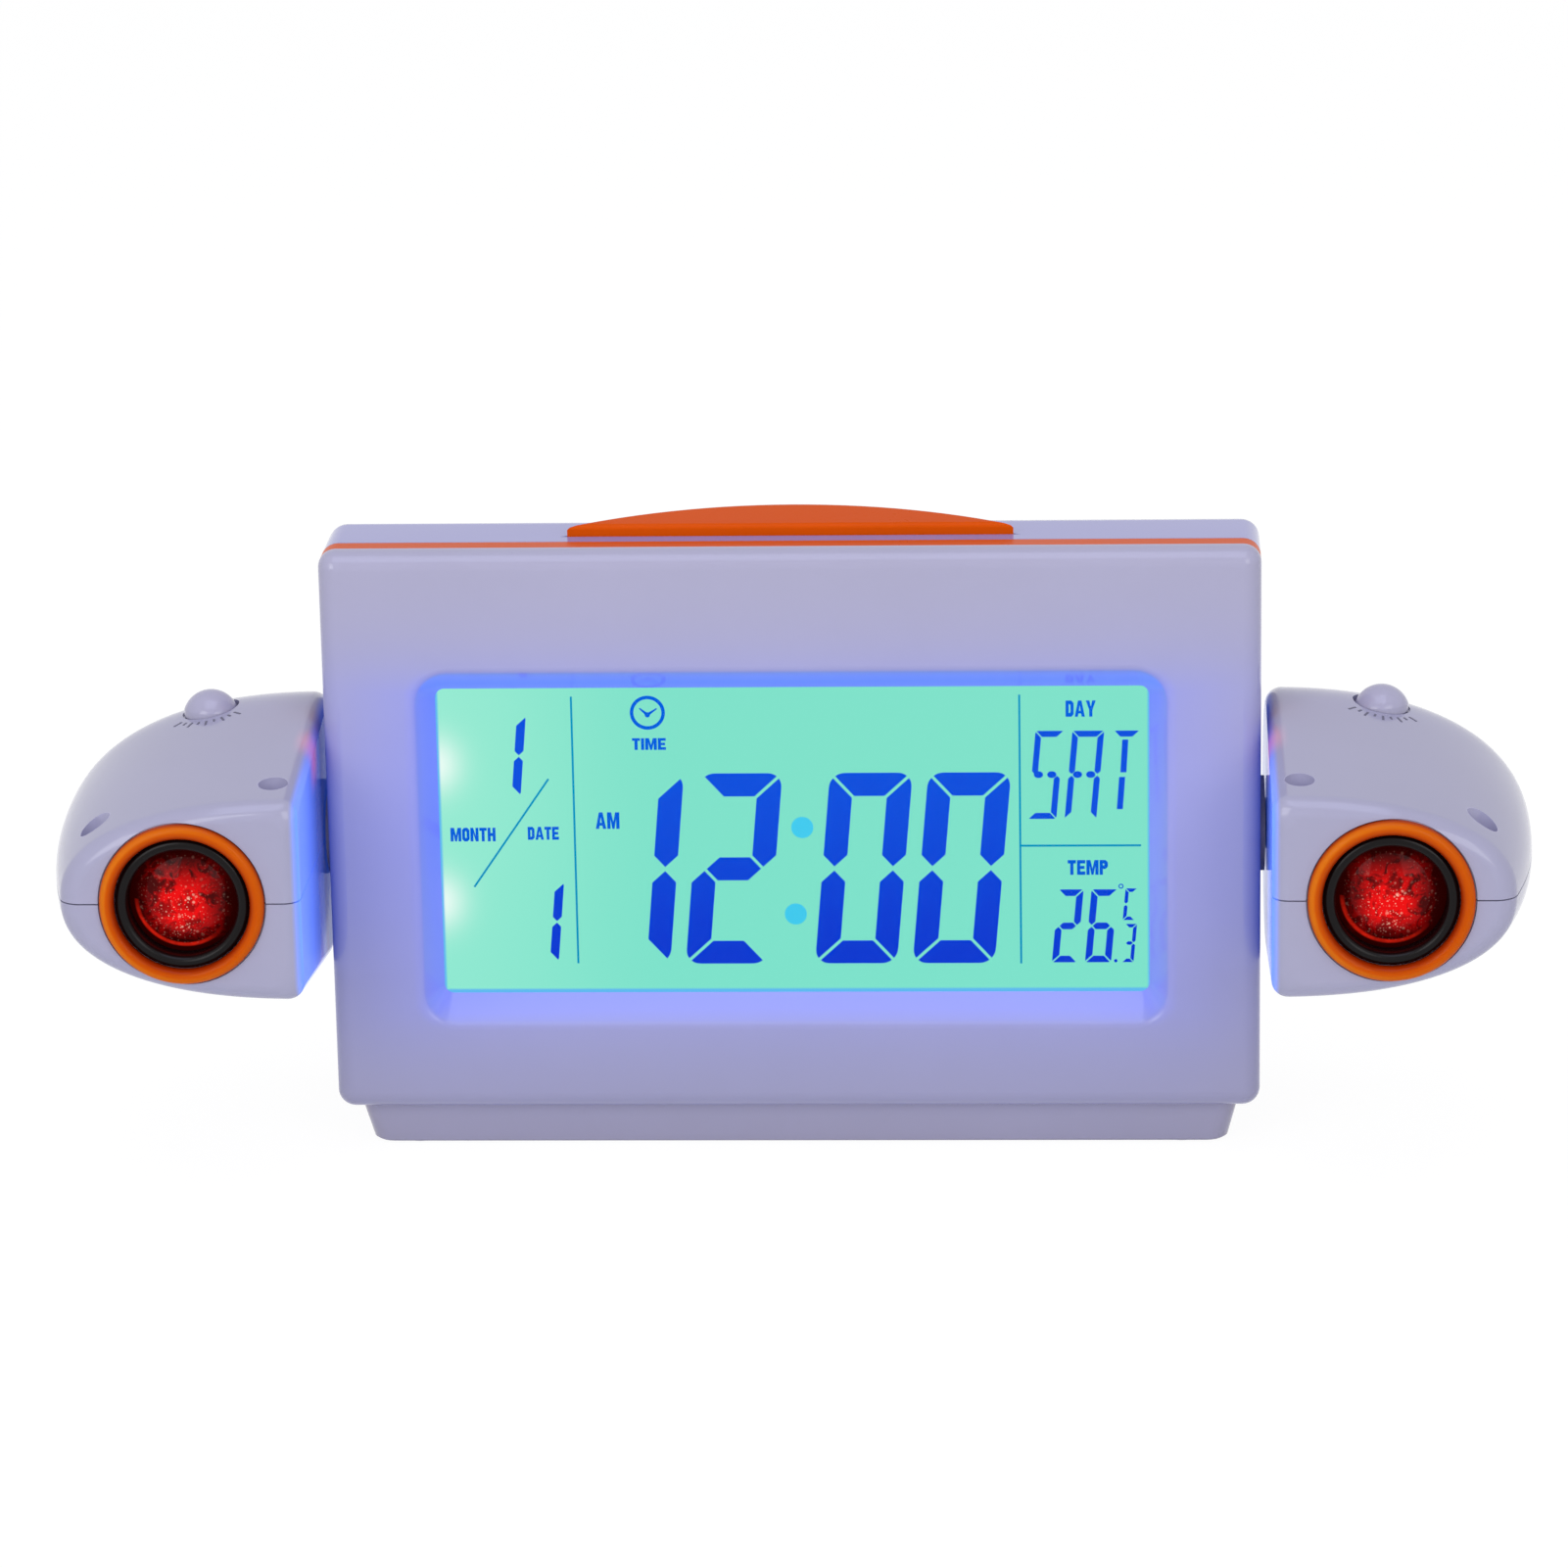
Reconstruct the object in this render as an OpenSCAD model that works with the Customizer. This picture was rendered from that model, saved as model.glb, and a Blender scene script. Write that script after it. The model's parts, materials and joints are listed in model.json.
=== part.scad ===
// Desk alarm clock with a lit display and two tilting projector pods, one on each side.
// Millimetres, +Z up, front towards -Y. The origin is on the table under the middle of the clock.

/* [Body] */
// Width of the clock body
body_w = 146; // [142:1:170]
// Height of the body above the plinth
body_h = 91; // [90:1:105]
// Depth of the body along its underside
body_d = 44; // [43:1:56]
// Lean of the back wall from upright, in degrees
back_lean = 13; // [10:1:13]
// Rounding of the front and lower edges
edge_r = 3; // [2.9:0.1:3.4]
// Rounding of the side edges
side_r = 2.8; // [2.4:0.1:2.8]
// Rounding along the top of the back
crest_r = 6; // [5:0.5:7]
// Wall thickness of the moulded body shells
wall = 2; // [1.7:0.1:2.1]
// Depth of the front shell at its rim
front_rim_d = 3.5; // [3:0.1:3.8]
// Width of the coloured trim band
band_w = 3.5; // [2.6:0.1:3.7]

/* [Display] */
// Width of the display opening at its inner end
view_w = 111.4; // [100:0.2:112]
// Height of the display opening at its inner end
view_h = 50; // [44:0.1:52]
// Height of the display centre above the table
view_z = 50.6; // [48:0.1:54]
// Depth of the display opening
recess_d = 4.9; // [4:0.1:5.5]
// How far each side of the opening flares out towards the front
flare_x = 3.1; // [2:0.1:4.5]
// How far the top and bottom of the opening flare out towards the front
flare_z = 4; // [2:0.1:5.5]
// Corner radius of the opening at the front
flare_r = 5.5; // [3:0.5:7]
// Rounding of the opening's front edge
lip_r = 1.5; // [0.8:0.1:2]
// Thickness of the clear display window
window_t = 1.2; // [0.8:0.1:1.8]
// Thickness of the display glass
glass_t = 2.2; // [1.6:0.1:2.8]
// Thickness of the light guide behind the glass
guide_t = 3; // [2.5:0.1:3.4]
// Thickness of the circuit boards
board_t = 1.6; // [1:0.1:2]

/* [Snooze bar] */
// Length of the snooze bar
bar_l = 69.5; // [50:0.5:90]
// Depth of the snooze bar at its middle
bar_d = 8.2; // [6:0.1:8.4]
// Height of the bar's front wall above the body
bar_rise = 1.7; // [1.4:0.1:3]
// Slope of the bar's top, in degrees
bar_slope = 10; // [4:1:12]
// Rounding of the bar's upper edges
bar_edge_r = 0.7; // [0.4:0.1:1]
// Distance from the front of the body to the bar
bar_y = 10.35; // [9.6:0.05:10.8]
// Travel of the bar when pressed
bar_travel = 1.2; // [0.8:0.1:1.3]

/* [Plinth] */
// Height of the plinth and its feet
plinth_h = 7.6; // [6:0.1:12]
// Width of the plinth at its top
plinth_w = 139.5; // [120:0.5:140]
// Depth of the plinth at its top
plinth_d = 36; // [32:0.5:38]
// Set-back of the plinth from the front of the body
plinth_setback = 3.8; // [3:0.1:5]
// Taper of each plinth side towards the table
plinth_taper = 1.5; // [0:0.1:3]
// Rounding of the plinth's lower edges
plinth_edge_r = 1.2; // [0.6:0.1:2]
// Radius of a rubber foot
foot_r = 4; // [3:0.5:5]
// Height of a rubber foot below the plinth
foot_h = 0.8; // [0.5:0.1:1.5]

/* [Pods] */
// Gap between the body and each pod
pod_gap = 1; // [0.8:0.1:1.6]
// Width of a pod at its front face
pod_front_w = 36.4; // [36:0.1:38]
// Greatest width of a pod
pod_w = 41; // [40:0.5:44]
// Distance from the pivot to the greatest width
pod_bulge_y = 8; // [4:1:14]
// Height of a pod's front face
pod_front_h = 31.4; // [30:0.2:34]
// Radius of a pod's round rear end, about its pivot
pod_r = 21.4; // [20.8:0.1:22.5]
// Reach of a pod from its pivot to its front face
pod_reach = 41; // [40.6:0.2:43]
// Exponent of a pod's superelliptic section
pod_exp = 2.3; // [2.2:0.05:2.6]
// Rounding of a pod's front and inner edges
pod_edge_r = 2.6; // [1.5:0.1:3]
// Wall thickness of a pod
pod_wall = 2; // [1.6:0.1:2.1]
// Distance from the front of the body back to the pivot
pivot_y = 13; // [12.6:0.1:14.5]
// Height of the pivot above the table
pivot_z = 50.8; // [49:0.1:54]
// Radius of the hollow pivot shaft
shaft_r = 4; // [3.4:0.1:4.2]

/* [Projector] */
// Distance of the lens axis from a pod's inner face
lens_x = 18; // [17.6:0.1:18.6]
// Radius of the lens
lens_r = 8.9; // [8:0.1:9.1]
// Radius of the hole in a pod's front face
port_r = 10.45; // [10.3:0.05:10.8]
// Width of the coloured trim ring
ring_w = 2.25; // [1.6:0.05:2.5]
// Height of the trim ring above the front face
ring_proud = 1.2; // [1:0.1:1.4]
// Radius of the focus knob
knob_r = 4.2; // [3.8:0.1:4.6]
// Height of the focus knob's dome
knob_dome_h = 3; // [2:0.1:3.6]
// Eccentricity of the focus knob's pin
pin_offset = 2; // [1.6:0.1:2]
// Half width of the film carrier
carrier_half = 7; // [6.5:0.1:7.2]

/* [Back] */
// Width of a rear key
key_w = 10; // [8:0.5:12]
// Height of a rear key
key_h = 6; // [5:0.5:7]
// Spacing of the rear keys
key_pitch = 20; // [18:0.5:22]
// Travel of a rear key
key_travel = 1; // [0.6:0.1:1.2]
// Radius of the speaker
speaker_r = 14; // [11:0.5:14.5]
// Radius of a battery cell
cell_r = 5.25; // [5:0.05:5.3]
// Length of a battery cell's can
cell_l = 43.7; // [42:0.1:44.5]
// Thickness of the battery door
door_t = 1.2; // [1:0.1:1.3]
// Radius of the power inlet's bore
inlet_r = 2.9; // [2.6:0.1:3.2]

/* [Hidden] */
$fn = 48;

// Fits, and the small sizes that several pieces share
thin = 0.01;
tiny = 0.05;
big = 600;
fit = 0.1;
slide_fit = 0.3;
shaft_fit = 0.05;
bite = 0.5;
arc_steps = 6;
edge_steps = 6;
lip_steps = 3;
round_step = 30;
long_arc_fn = 180;

// Colours
shell_colour = [0.70, 0.69, 0.80];
trim_colour = [0.80, 0.32, 0.06];
black_colour = [0.10, 0.07, 0.07];
steel_colour = [0.70, 0.70, 0.72];
board_colour = [0.10, 0.35, 0.20];
brass_colour = [0.75, 0.62, 0.30];
rubber_colour = [0.20, 0.20, 0.22];
clear_colour = [0.80, 0.90, 0.95, 0.4];
lit_colour = [0.51, 0.89, 0.80];
lens_colour = [0.79, 0.08, 0.09];

// Heights and the corners of the body's side profile
body_z0 = plinth_h;
body_z1 = body_z0 + body_h;
heel_c = [body_d - edge_r * (1 + sin(back_lean)) / cos(back_lean), body_z0 + edge_r];
crest_c = [body_d - (crest_r + (body_h - crest_r) * sin(back_lean)) / cos(back_lean), body_z1 - crest_r];
band_y = front_rim_d;
band_end_y = front_rim_d + band_w;
lip_t = 1.2;
lip_lap = 1.4;

// The clock reaches from the trim rings back to the heel of the body
origin_y = (pivot_y - pod_reach - ring_proud + heel_c[0] + edge_r) / 2;

// Stack of the display, from the opening's inner end backwards
flare_wall = 1.6;
window_lap = 1.3;
glass_lap = 1;
holder_t = 1.6;
holder_back_t = 1.2;
window_y = recess_d;
glass_y = window_y + window_t;
guide_y = glass_y + glass_t;
holder_y = guide_y + guide_t;
board_y = holder_y + holder_back_t;
zebra_h = 2;
zebra_l = 80;
guide_h = view_h + 2 * glass_lap - 2 * (zebra_h + 2 * slide_fit);
led_w = 2.2;
led_h = 3;
led_drop = 12;
holder_w = view_w + 2 * (window_lap + fit + holder_t);
holder_h = view_h + 2 * (window_lap + fit + holder_t);

// Slope of the opening's rounded front edge, and how far its arc reaches from the corner
lip_turn = 90 - atan((flare_x + flare_z) / 2 / recess_d);
lip_reach = lip_r * tan(lip_turn / 2);

// Posts and screws of the case and of the main board
post_r = 3;
pilot_r = 0.9;
case_screw_r = 1.3;
case_head_r = 2.7;
case_head_h = 1.8;
case_post_inset = 8;
case_post_low = 7;
case_post_high = 10.5;
case_seat_in = 7.5;
case_floor_t = 3;
case_tube_wall = 0.6;
case_seat_y = board_y + case_seat_in;
case_split_y = case_seat_y - case_floor_t;
case_screw_l = 11;
board_post_r = 2;
board_post_x = holder_w / 2 + board_post_r + fit;
board_post_z = 18;
board_w = 2 * (board_post_x + board_post_r - slide_fit);
board_h = holder_h;
board_screw_l = 6;
board_head_r = 2.2;
board_head_h = 1.4;
blob_r = 9;
blob_h = 2.2;

// Snooze bar and the switch under it
bar_r = (bar_l * bar_l / 4 + bar_d * bar_d) / (2 * bar_d);
bar_flange_t = 1.3;
bar_flange_out = 2;
bar_flange_d = 5;
bar_stem_r = 2;
bar_stem_l = 2;
bar_flange_in = 1;
bar_stem_in = 3.6;
bar_slack = 0.2;
bar_stem_y = bar_y + bar_stem_in;
bar_flange_z = body_z1 - wall - bar_slack;
switch_size = 6;
switch_h = 3.5;
plunger_r = 1.7;
plunger_h = 0.8;
press_gap = 0.15;
bar_switch_z = bar_flange_z - bar_flange_t - bar_stem_l - bar_travel - press_gap - plunger_h - switch_h;
snooze_board_d = 8;
snooze_post_r = 2;
snooze_post_x = bar_l / 2 + bar_flange_out + snooze_post_r + 2 * slide_fit;
snooze_board_l = 2 * (snooze_post_x + snooze_post_r);

// Plinth
plinth_corner_r = 3;
plinth_wall = 2;
plinth_z0 = foot_h;
foot_sink = 1.2;
foot_inset_x = 9;
foot_inset_y = 7;
plinth_screw_x = 45;
plinth_screw_inset_y = 10;
plinth_boss_h = 5;
plinth_boss_wall = 1;
plinth_head_r = 2.6;
plinth_head_h = 1.6;
plinth_screw_l = 7;
plinth_y0 = plinth_setback;
plinth_y1 = plinth_setback + plinth_d;

// Pods: the front flat runs tangent to the round rear end
pod_x0 = body_w / 2 + pod_gap;
pod_front_half = pod_front_h / 2;
pod_touch_a = atan2(pod_front_half, -pod_reach) - acos(pod_r / norm([pod_reach, pod_front_half]));
pod_touch = pod_r * [cos(pod_touch_a), sin(pod_touch_a)];
pod_tail_exp = 2.5;
pod_side_steps = 10;
pod_flat_steps = 5;
pod_tail_step = 12;
pod_tail_end = 84;
pod_round_share = 0.6;
seam_gap = 0.2;
pod_post_r = 3;
pod_hole_r = 2.3;
pod_head_r = 2;
pod_head_h = 1.6;
pod_seat_z = 5;
pod_screw_r = 1.1;
pod_screw_l = 10;
pod_post_back = 8;
pod_post_inner = 4.3;
pod_post_outer = 4.4;
pod_rear_posts = [[7, 13.5], [32, 4]];
pod_posts = concat([for (x = [pod_post_inner, pod_front_w - pod_post_outer]) [x, pod_post_back - pod_reach]],
    pod_rear_posts);
ring_sink = 0.6;

// Lens barrel and lens, by their distance forward of the pivot
barrel_lip = 0.15;
barrel_proud = 0.2;
barrel_flange_out = 1.4;
barrel_wall = 0.7;
barrel_l = 19;
lens_sunk = 6;
barrel_r = port_r - fit;
barrel_open_r = lens_r - barrel_lip;
barrel_front = pod_reach + barrel_proud;
barrel_flange_r = port_r + barrel_flange_out;
barrel_flange_t = 1.5;
barrel_flange_front = pod_reach - pod_wall - fit;
barrel_tube_r = lens_r + barrel_wall;
barrel_tail = pod_reach - barrel_l;
lens_back = pod_reach - lens_sunk;
lens_edge_t = 2;
lens_dome_h = 2.9;
lens_stop_t = 0.9;

// Film carrier, moved along the lens axis by the pin of the focus knob
carrier_front = 6;
carrier_back = -10;
carrier_half_h = 8;
tunnel = 9;
film_t = 0.4;
film_size = 11;
led_board_t = 1.2;
led_r = 2.5;
led_l = 5;
rail_t = 1.6;
rail_x = 5;
knob_y = -1;
knob_stem_r = 2.2;
knob_fit = 0.4;
knob_boss_r = 6.4;
knob_boss_t = 3;
knob_sink = 1.4;
knob_rim_h = 1;
barb_r = 2.7;
barb_t = 1;
pin_r = 0.9;
pin_fit = 0.2;
fork_t = 1.5;
fork_h = 4.5;
fork_inset = 2;
pin_floor = 1;

// Pivot shaft, with its boss in the side wall
boss_wall = 1.6;
boss_r = shaft_r + boss_wall;
boss_t = 1.5;
shaft_flange_r = 7;
shaft_flange_t = 1.5;
shaft_wall = 1.4;
shaft_bore_r = shaft_r - shaft_wall;
washer_r = 7.5;
washer_slack = 0.2;
clip_r = 6;
clip_t = 0.8;
clip_sink = 0.6;
clip_jaw = 1;
shaft_tail = 0.9;
clip_x = -pod_gap - wall - boss_t - slide_fit - clip_t;

// Back wall: keys, battery bay, speaker, inlet and switch
key_rise = 66;
key_z = body_z0 + key_rise;
key_proud = 1.4;
key_flange_out = 1.2;
key_flange_t = 1;
key_stem_r = 1.5;
key_stem_l = 1;
key_corner_r = 1.5;
key_board_h = 12;
key_post_r = 2;
key_n = 4;
key_post_x = key_pitch * (key_n - 1) / 2 + key_w / 2 + key_flange_out + key_post_r + 2 * slide_fit;
key_board_w = 2 * (key_post_x + key_post_r);
key_switch_top = wall + press_gap + key_flange_t + key_stem_l + key_travel + press_gap;
key_board_top = key_switch_top + plunger_h + switch_h;
bay_rise = 27;
bay_z = body_z0 + bay_rise;
bay_wall = 1.5;
spring_l = 5;
plate_t = 0.4;
nub_l = 0.8;
nub_r = 1.9;
plate_inset = 1;
cell_count = 3;
cell_gap = 0.6;
cell_pitch = 2 * cell_r + cell_gap;
end_room = 0.4;
side_room = 1;
cell_drop = 0.4;
bay_w = cell_l + nub_l + spring_l + 2 * plate_t + end_room;
bay_h = cell_count * cell_pitch + side_room;
bay_d = door_t + 2 * cell_r + 2 * cell_drop;
door_rebate = 1.6;
door_fit = 0.25;
grip_n = 3;
grip_w = 14;
grip_top = 4;
grip_pitch = 2.4;
grip_groove = 1.2;
grip_depth = 0.5;
spring_turns = 3.5;
spring_wire_r = 0.4;
spring_wide_r = 3.6;
spring_tight_r = 2.6;
spring_ring_n = 8;
spring_sides = 6;
speaker_in = 25;
speaker_rise = 28;
speaker_x = speaker_in - body_w / 2;
speaker_z = body_z0 + speaker_rise;
speaker_h = 6;
speaker_step = 1;
speaker_wall = 1.4;
speaker_cone_d = 1.5;
speaker_cap_r = 4.7;
speaker_rim = 2;
grille_r = 0.9;
grille_pitch = 3.6;
grille_rings = 2;
inlet_in = 24;
inlet_rise = 20;
inlet_x = body_w / 2 - inlet_in;
inlet_z = body_z0 + inlet_rise;
inlet_w = 9;
inlet_h = 10.5;
inlet_l = 12;
inlet_collar_r = 4;
inlet_pin_r = 1;
inlet_depth = 9;
inlet_pin_short = 1;
slide_x = inlet_x;
slide_rise = 40;
slide_z = body_z0 + slide_rise;
slide_w = 13;
slide_h = 6.5;
slide_t = 4.5;
slide_slot_d = 1.5;
slider_w = 4;
slider_h = 3.2;
slider_proud = 1.1;
slider_travel = 3;

// Outlines and profiles
function arc(c, r, from, to) =
    [for (i = [0 : arc_steps]) let (a = from + (to - from) * i / arc_steps) c + r * [cos(a), sin(a)]];
function rounded(w, h, r) = concat(
    arc([w / 2 - r, h / 2 - r], r, 0, 90), arc([r - w / 2, h / 2 - r], r, 90, 180),
    arc([r - w / 2, r - h / 2], r, 180, 270), arc([w / 2 - r, r - h / 2], r, 270, 360));
function cap_arc(r, h) = let (ball = (r * r + h * h) / (2 * h))
    arc([0, h - ball], ball, 90 - asin(r / ball), 90);
function back_y(z) = body_d - (z - body_z0) * tan(back_lean);

// Side profile of the body, drawn in by an inset
function profile(inset) = concat(
    arc([edge_r, body_z0 + edge_r], max(edge_r - inset, tiny), 180, 270),
    arc(heel_c, max(edge_r - inset, tiny), 270, 360 + back_lean),
    arc(crest_c, max(crest_r - inset, tiny), back_lean, 90),
    arc([edge_r, body_z1 - edge_r], max(edge_r - inset, tiny), 90, 180));

// Width and half height of a pod at a distance behind its pivot
function pod_tail(t) = pow(1 - pow(t, pod_tail_exp), 1 / pod_tail_exp);
function pod_width(y) = y < -pod_bulge_y
    ? pod_w - (pod_w - pod_front_w) * pow((-pod_bulge_y - y) / (pod_reach - pod_bulge_y), 2)
    : pod_w * pod_tail((y + pod_bulge_y) / (pod_r + pod_bulge_y));
function pod_half_h(y, inset) = y < pod_touch[0]
    ? pod_front_half + (pod_touch[1] - pod_front_half) * (y + pod_reach) / (pod_touch[0] + pod_reach) - inset
    : sqrt(pow(pod_r - inset, 2) - y * y);
function pod_crown(x, a, h) = h * pow(1 - pow(x / a, pod_exp), 1 / pod_exp);
function pod_top(x, y) = pod_crown(x, pod_width(y), pod_half_h(y, 0));

// Upper half of a pod's section, from its rounded inner edge out to the seam
function pod_half_section(a, h, x0, r) = let (turn = acos(pow((x0 + r) / a, pod_exp / 2))) concat(
    [for (f = [0 : round_step : 90 - round_step]) let (x = x0 + r * (1 - cos(f)))
        [x, pod_crown(x, a, h) - r * (1 - sin(f))]],
    [for (i = [0 : pod_side_steps]) let (f = turn * (1 - i / pod_side_steps))
        [a * pow(cos(f), 2 / pod_exp), h * pow(sin(f), 2 / pod_exp)]]);
function pod_section(y, inset, drawn) =
    let (a = pod_width(y) - inset - drawn, h = pod_half_h(y, inset) - drawn, x0 = inset + drawn)
    let (half = pod_half_section(a, h, x0, min(pod_edge_r, pod_round_share * h)))
    concat(half, [for (i = [len(half) - 2 : -1 : 0]) [half[i][0], -half[i][1]]]);

// Placing
module placed() { translate([0, -origin_y, 0]) children(); }
module y_slab(from, to) { translate([-big / 2, from, -big / 2]) cube([big, to - from, big]); }
module along_y(from, to) { translate([0, to, 0]) rotate([90, 0, 0]) linear_extrude(to - from) children(); }
module y_rod(x, z, r, from, to) {
    translate([x, from, z]) rotate([-90, 0, 0]) cylinder(r = r, h = to - from);
}
module on_back(x, z) {
    translate([x, back_y(z), z]) rotate([back_lean - 90, 0, 0]) rotate([0, 0, 180]) children();
}
module pad(w, h, r, from, to) { translate([0, 0, from]) linear_extrude(to - from) polygon(rounded(w, h, r)); }
module block(w, h, from, to) { translate([-w / 2, -h / 2, from]) cube([w, h, to - from]); }
module at_display(from, to) { translate([0, 0, view_z]) along_y(from, to) children(); }

// Solid of the body's outer form, drawn in by an inset
module body_form(inset) {
    r = max(side_r - inset, tiny);
    hull() for (i = [0 : edge_steps]) {
        turn = 90 * i / edge_steps;
        x = body_w / 2 - inset - r * (1 - sin(turn));
        translate([-x, 0, 0]) rotate([90, 0, 90]) linear_extrude(2 * x)
            polygon(profile(inset + r * (1 - cos(turn))));
    }
}

// Places of the case screws, the board screws and the plinth's screws
module at_case_posts() {
    for (side = [-1, 1], z = [body_z0 + case_post_low, body_z1 - case_post_high])
        translate([side * (body_w / 2 - case_post_inset), 0, z]) children();
}
module at_board_posts() {
    for (side = [-1, 1], lift = [-1, 1])
        translate([side * board_post_x, 0, view_z + lift * board_post_z]) children();
}
module at_plinth_screws() {
    for (side = [-1, 1], y = [plinth_y0 + plinth_screw_inset_y, plinth_y1 - plinth_screw_inset_y])
        translate([side * plinth_screw_x, y, 0]) children();
}

// Front shell: the face, its flared display opening and the posts behind it
module mouth(grow, y) {
    at_display(y, y + thin)
        polygon(rounded(view_w + 2 * (flare_x + grow), view_h + 2 * (flare_z + grow), flare_r + grow));
}
module throat(grow) {
    at_display(recess_d - thin, recess_d)
        polygon(rounded(view_w + 2 * grow, view_h + 2 * grow, edge_r / 2 + grow));
}
module lip(i) {
    turn = lip_turn * i / lip_steps;
    mouth(lip_reach - lip_r * sin(turn), lip_r * (1 - cos(turn)) - thin);
}
module opening() {
    for (i = [1 : lip_steps]) hull() {
        lip(i - 1);
        lip(i);
    }
    hull() {
        lip(lip_steps);
        throat(0);
    }
}
module front_shell() color(shell_colour) placed() difference() {
    union() {
        difference() {
            intersection() {
                body_form(0);
                y_slab(-bite, front_rim_d);
            }
            body_form(wall);
        }
        hull() {
            mouth(flare_wall, wall - bite);
            throat(flare_wall);
        }
        at_case_posts() y_rod(0, 0, post_r, wall - bite, case_split_y);
        at_board_posts() y_rod(0, 0, board_post_r, wall - bite, board_y);
    }
    opening();
    at_display(recess_d - bite, recess_d + bite) polygon(rounded(view_w, view_h, edge_r / 2));
    at_case_posts() y_rod(0, 0, pilot_r, case_seat_y - case_screw_l - bite, case_split_y + bite);
    at_board_posts() y_rod(0, 0, pilot_r, board_y - board_screw_l, board_y + bite);
}

// Coloured band between the shells, with a lip that locates both and clears the pivot bosses
module body_outline(inset) {
    translate([0, body_z0 + body_h / 2])
        polygon(rounded(body_w - 2 * inset, body_h - 2 * inset, max(side_r - inset, tiny)));
}
module trim_band() color(trim_colour) placed() difference() {
    union() {
        along_y(band_y, band_end_y) body_outline(0);
        along_y(edge_r + fit, band_end_y + lip_lap) body_outline(wall + fit);
    }
    along_y(-bite, body_d) body_outline(wall + fit + lip_t);
    translate([0, pivot_y, pivot_z]) rotate([0, 90, 0]) cylinder(r = boss_r + fit, h = big, center = true);
}

// Rear shell: back wall, screw tubes, pivot bosses, battery bay and seats for what is inside
module bar_plan(grow) {
    intersection() {
        translate([0, bar_y + bar_d - bar_r]) circle(r = bar_r + grow, $fn = long_arc_fn);
        translate([-bar_l, bar_y - grow]) square([2 * bar_l, 2 * bar_d]);
    }
}
module grille() {
    for (ring = [0 : grille_rings], i = [0 : max(0, 6 * ring - 1)])
        rotate(ring == 0 ? 0 : 60 * i / ring) translate([ring * grille_pitch, 0, -wall - speaker_step - bite])
            cylinder(r = grille_r, h = wall + speaker_step + 2 * bite, $fn = 24);
}
module rear_solids() {
    at_case_posts() y_rod(0, 0, post_r + case_tube_wall, case_split_y + fit, body_d);
    for (side = [-1, 1]) translate([side * (body_w / 2 - (wall + boss_t) / 2), pivot_y, pivot_z])
        rotate([0, 90, 0]) cylinder(r = boss_r, h = wall + boss_t, center = true);
    at_plinth_screws() translate([0, 0, body_z0]) cylinder(r = post_r, h = wall + plinth_boss_h);
    on_back(0, bay_z) block(bay_w + 2 * bay_wall, bay_h + 2 * bay_wall, -bay_d - bay_wall, 0);
    on_back(0, key_z) for (side = [-1, 1])
        translate([side * key_post_x, 0, -key_board_top]) cylinder(r = key_post_r, h = key_board_top);
    on_back(speaker_x, speaker_z) translate([0, 0, -wall - speaker_step - speaker_h / 2]) difference() {
        cylinder(r = speaker_r + fit + speaker_wall, h = wall + speaker_step + speaker_h / 2);
        translate([0, 0, -bite]) cylinder(r = speaker_r + fit, h = speaker_h / 2 + bite);
        cylinder(r = speaker_r - speaker_wall, h = speaker_h / 2 + speaker_step);
    }
    for (side = [-1, 1]) translate([side * snooze_post_x, bar_stem_y, bar_switch_z])
        cylinder(r = snooze_post_r, h = body_z1 - bar_switch_z);
}
module rear_cuts() {
    at_case_posts() {
        y_rod(0, 0, case_screw_r + fit, case_split_y - bite, body_d);
        y_rod(0, 0, case_head_r + slide_fit, case_seat_y, body_d + bite);
    }
    for (side = [-1, 1]) translate([side * body_w / 2, pivot_y, pivot_z]) rotate([0, 90, 0])
        cylinder(r = shaft_r + shaft_fit, h = 2 * (wall + boss_t) + bite, center = true);
    at_plinth_screws() translate([0, 0, body_z0 - bite]) cylinder(r = pilot_r, h = plinth_screw_l + bite);
    on_back(0, bay_z) {
        block(bay_w, bay_h, -bay_d, bite);
        block(bay_w + 2 * door_rebate, bay_h + 2 * door_rebate, -door_t, bite);
    }
    on_back(0, key_z) for (i = [0 : key_n - 1]) translate([(i - (key_n - 1) / 2) * key_pitch, 0, 0])
        pad(key_w + 2 * slide_fit, key_h + 2 * slide_fit, key_corner_r, -wall - bite, bite);
    on_back(speaker_x, speaker_z) grille();
    on_back(inlet_x, inlet_z) translate([0, 0, -wall - bite])
        cylinder(r = inlet_collar_r + fit, h = wall + 2 * bite);
    on_back(slide_x, slide_z)
        block(slider_w + slider_travel + 2 * slide_fit, slider_h + 2 * slide_fit, -wall - bite, bite);
    translate([0, 0, body_z1 - wall - bite]) linear_extrude(wall + 2 * bite) bar_plan(slide_fit);
}
module rear_shell() color(shell_colour) placed() difference() {
    intersection() {
        body_form(0);
        y_slab(band_end_y, body_d + bite);
        union() {
            difference() {
                y_slab(0, body_d + bite);
                body_form(wall);
            }
            rear_solids();
        }
    }
    rear_cuts();
}

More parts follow.
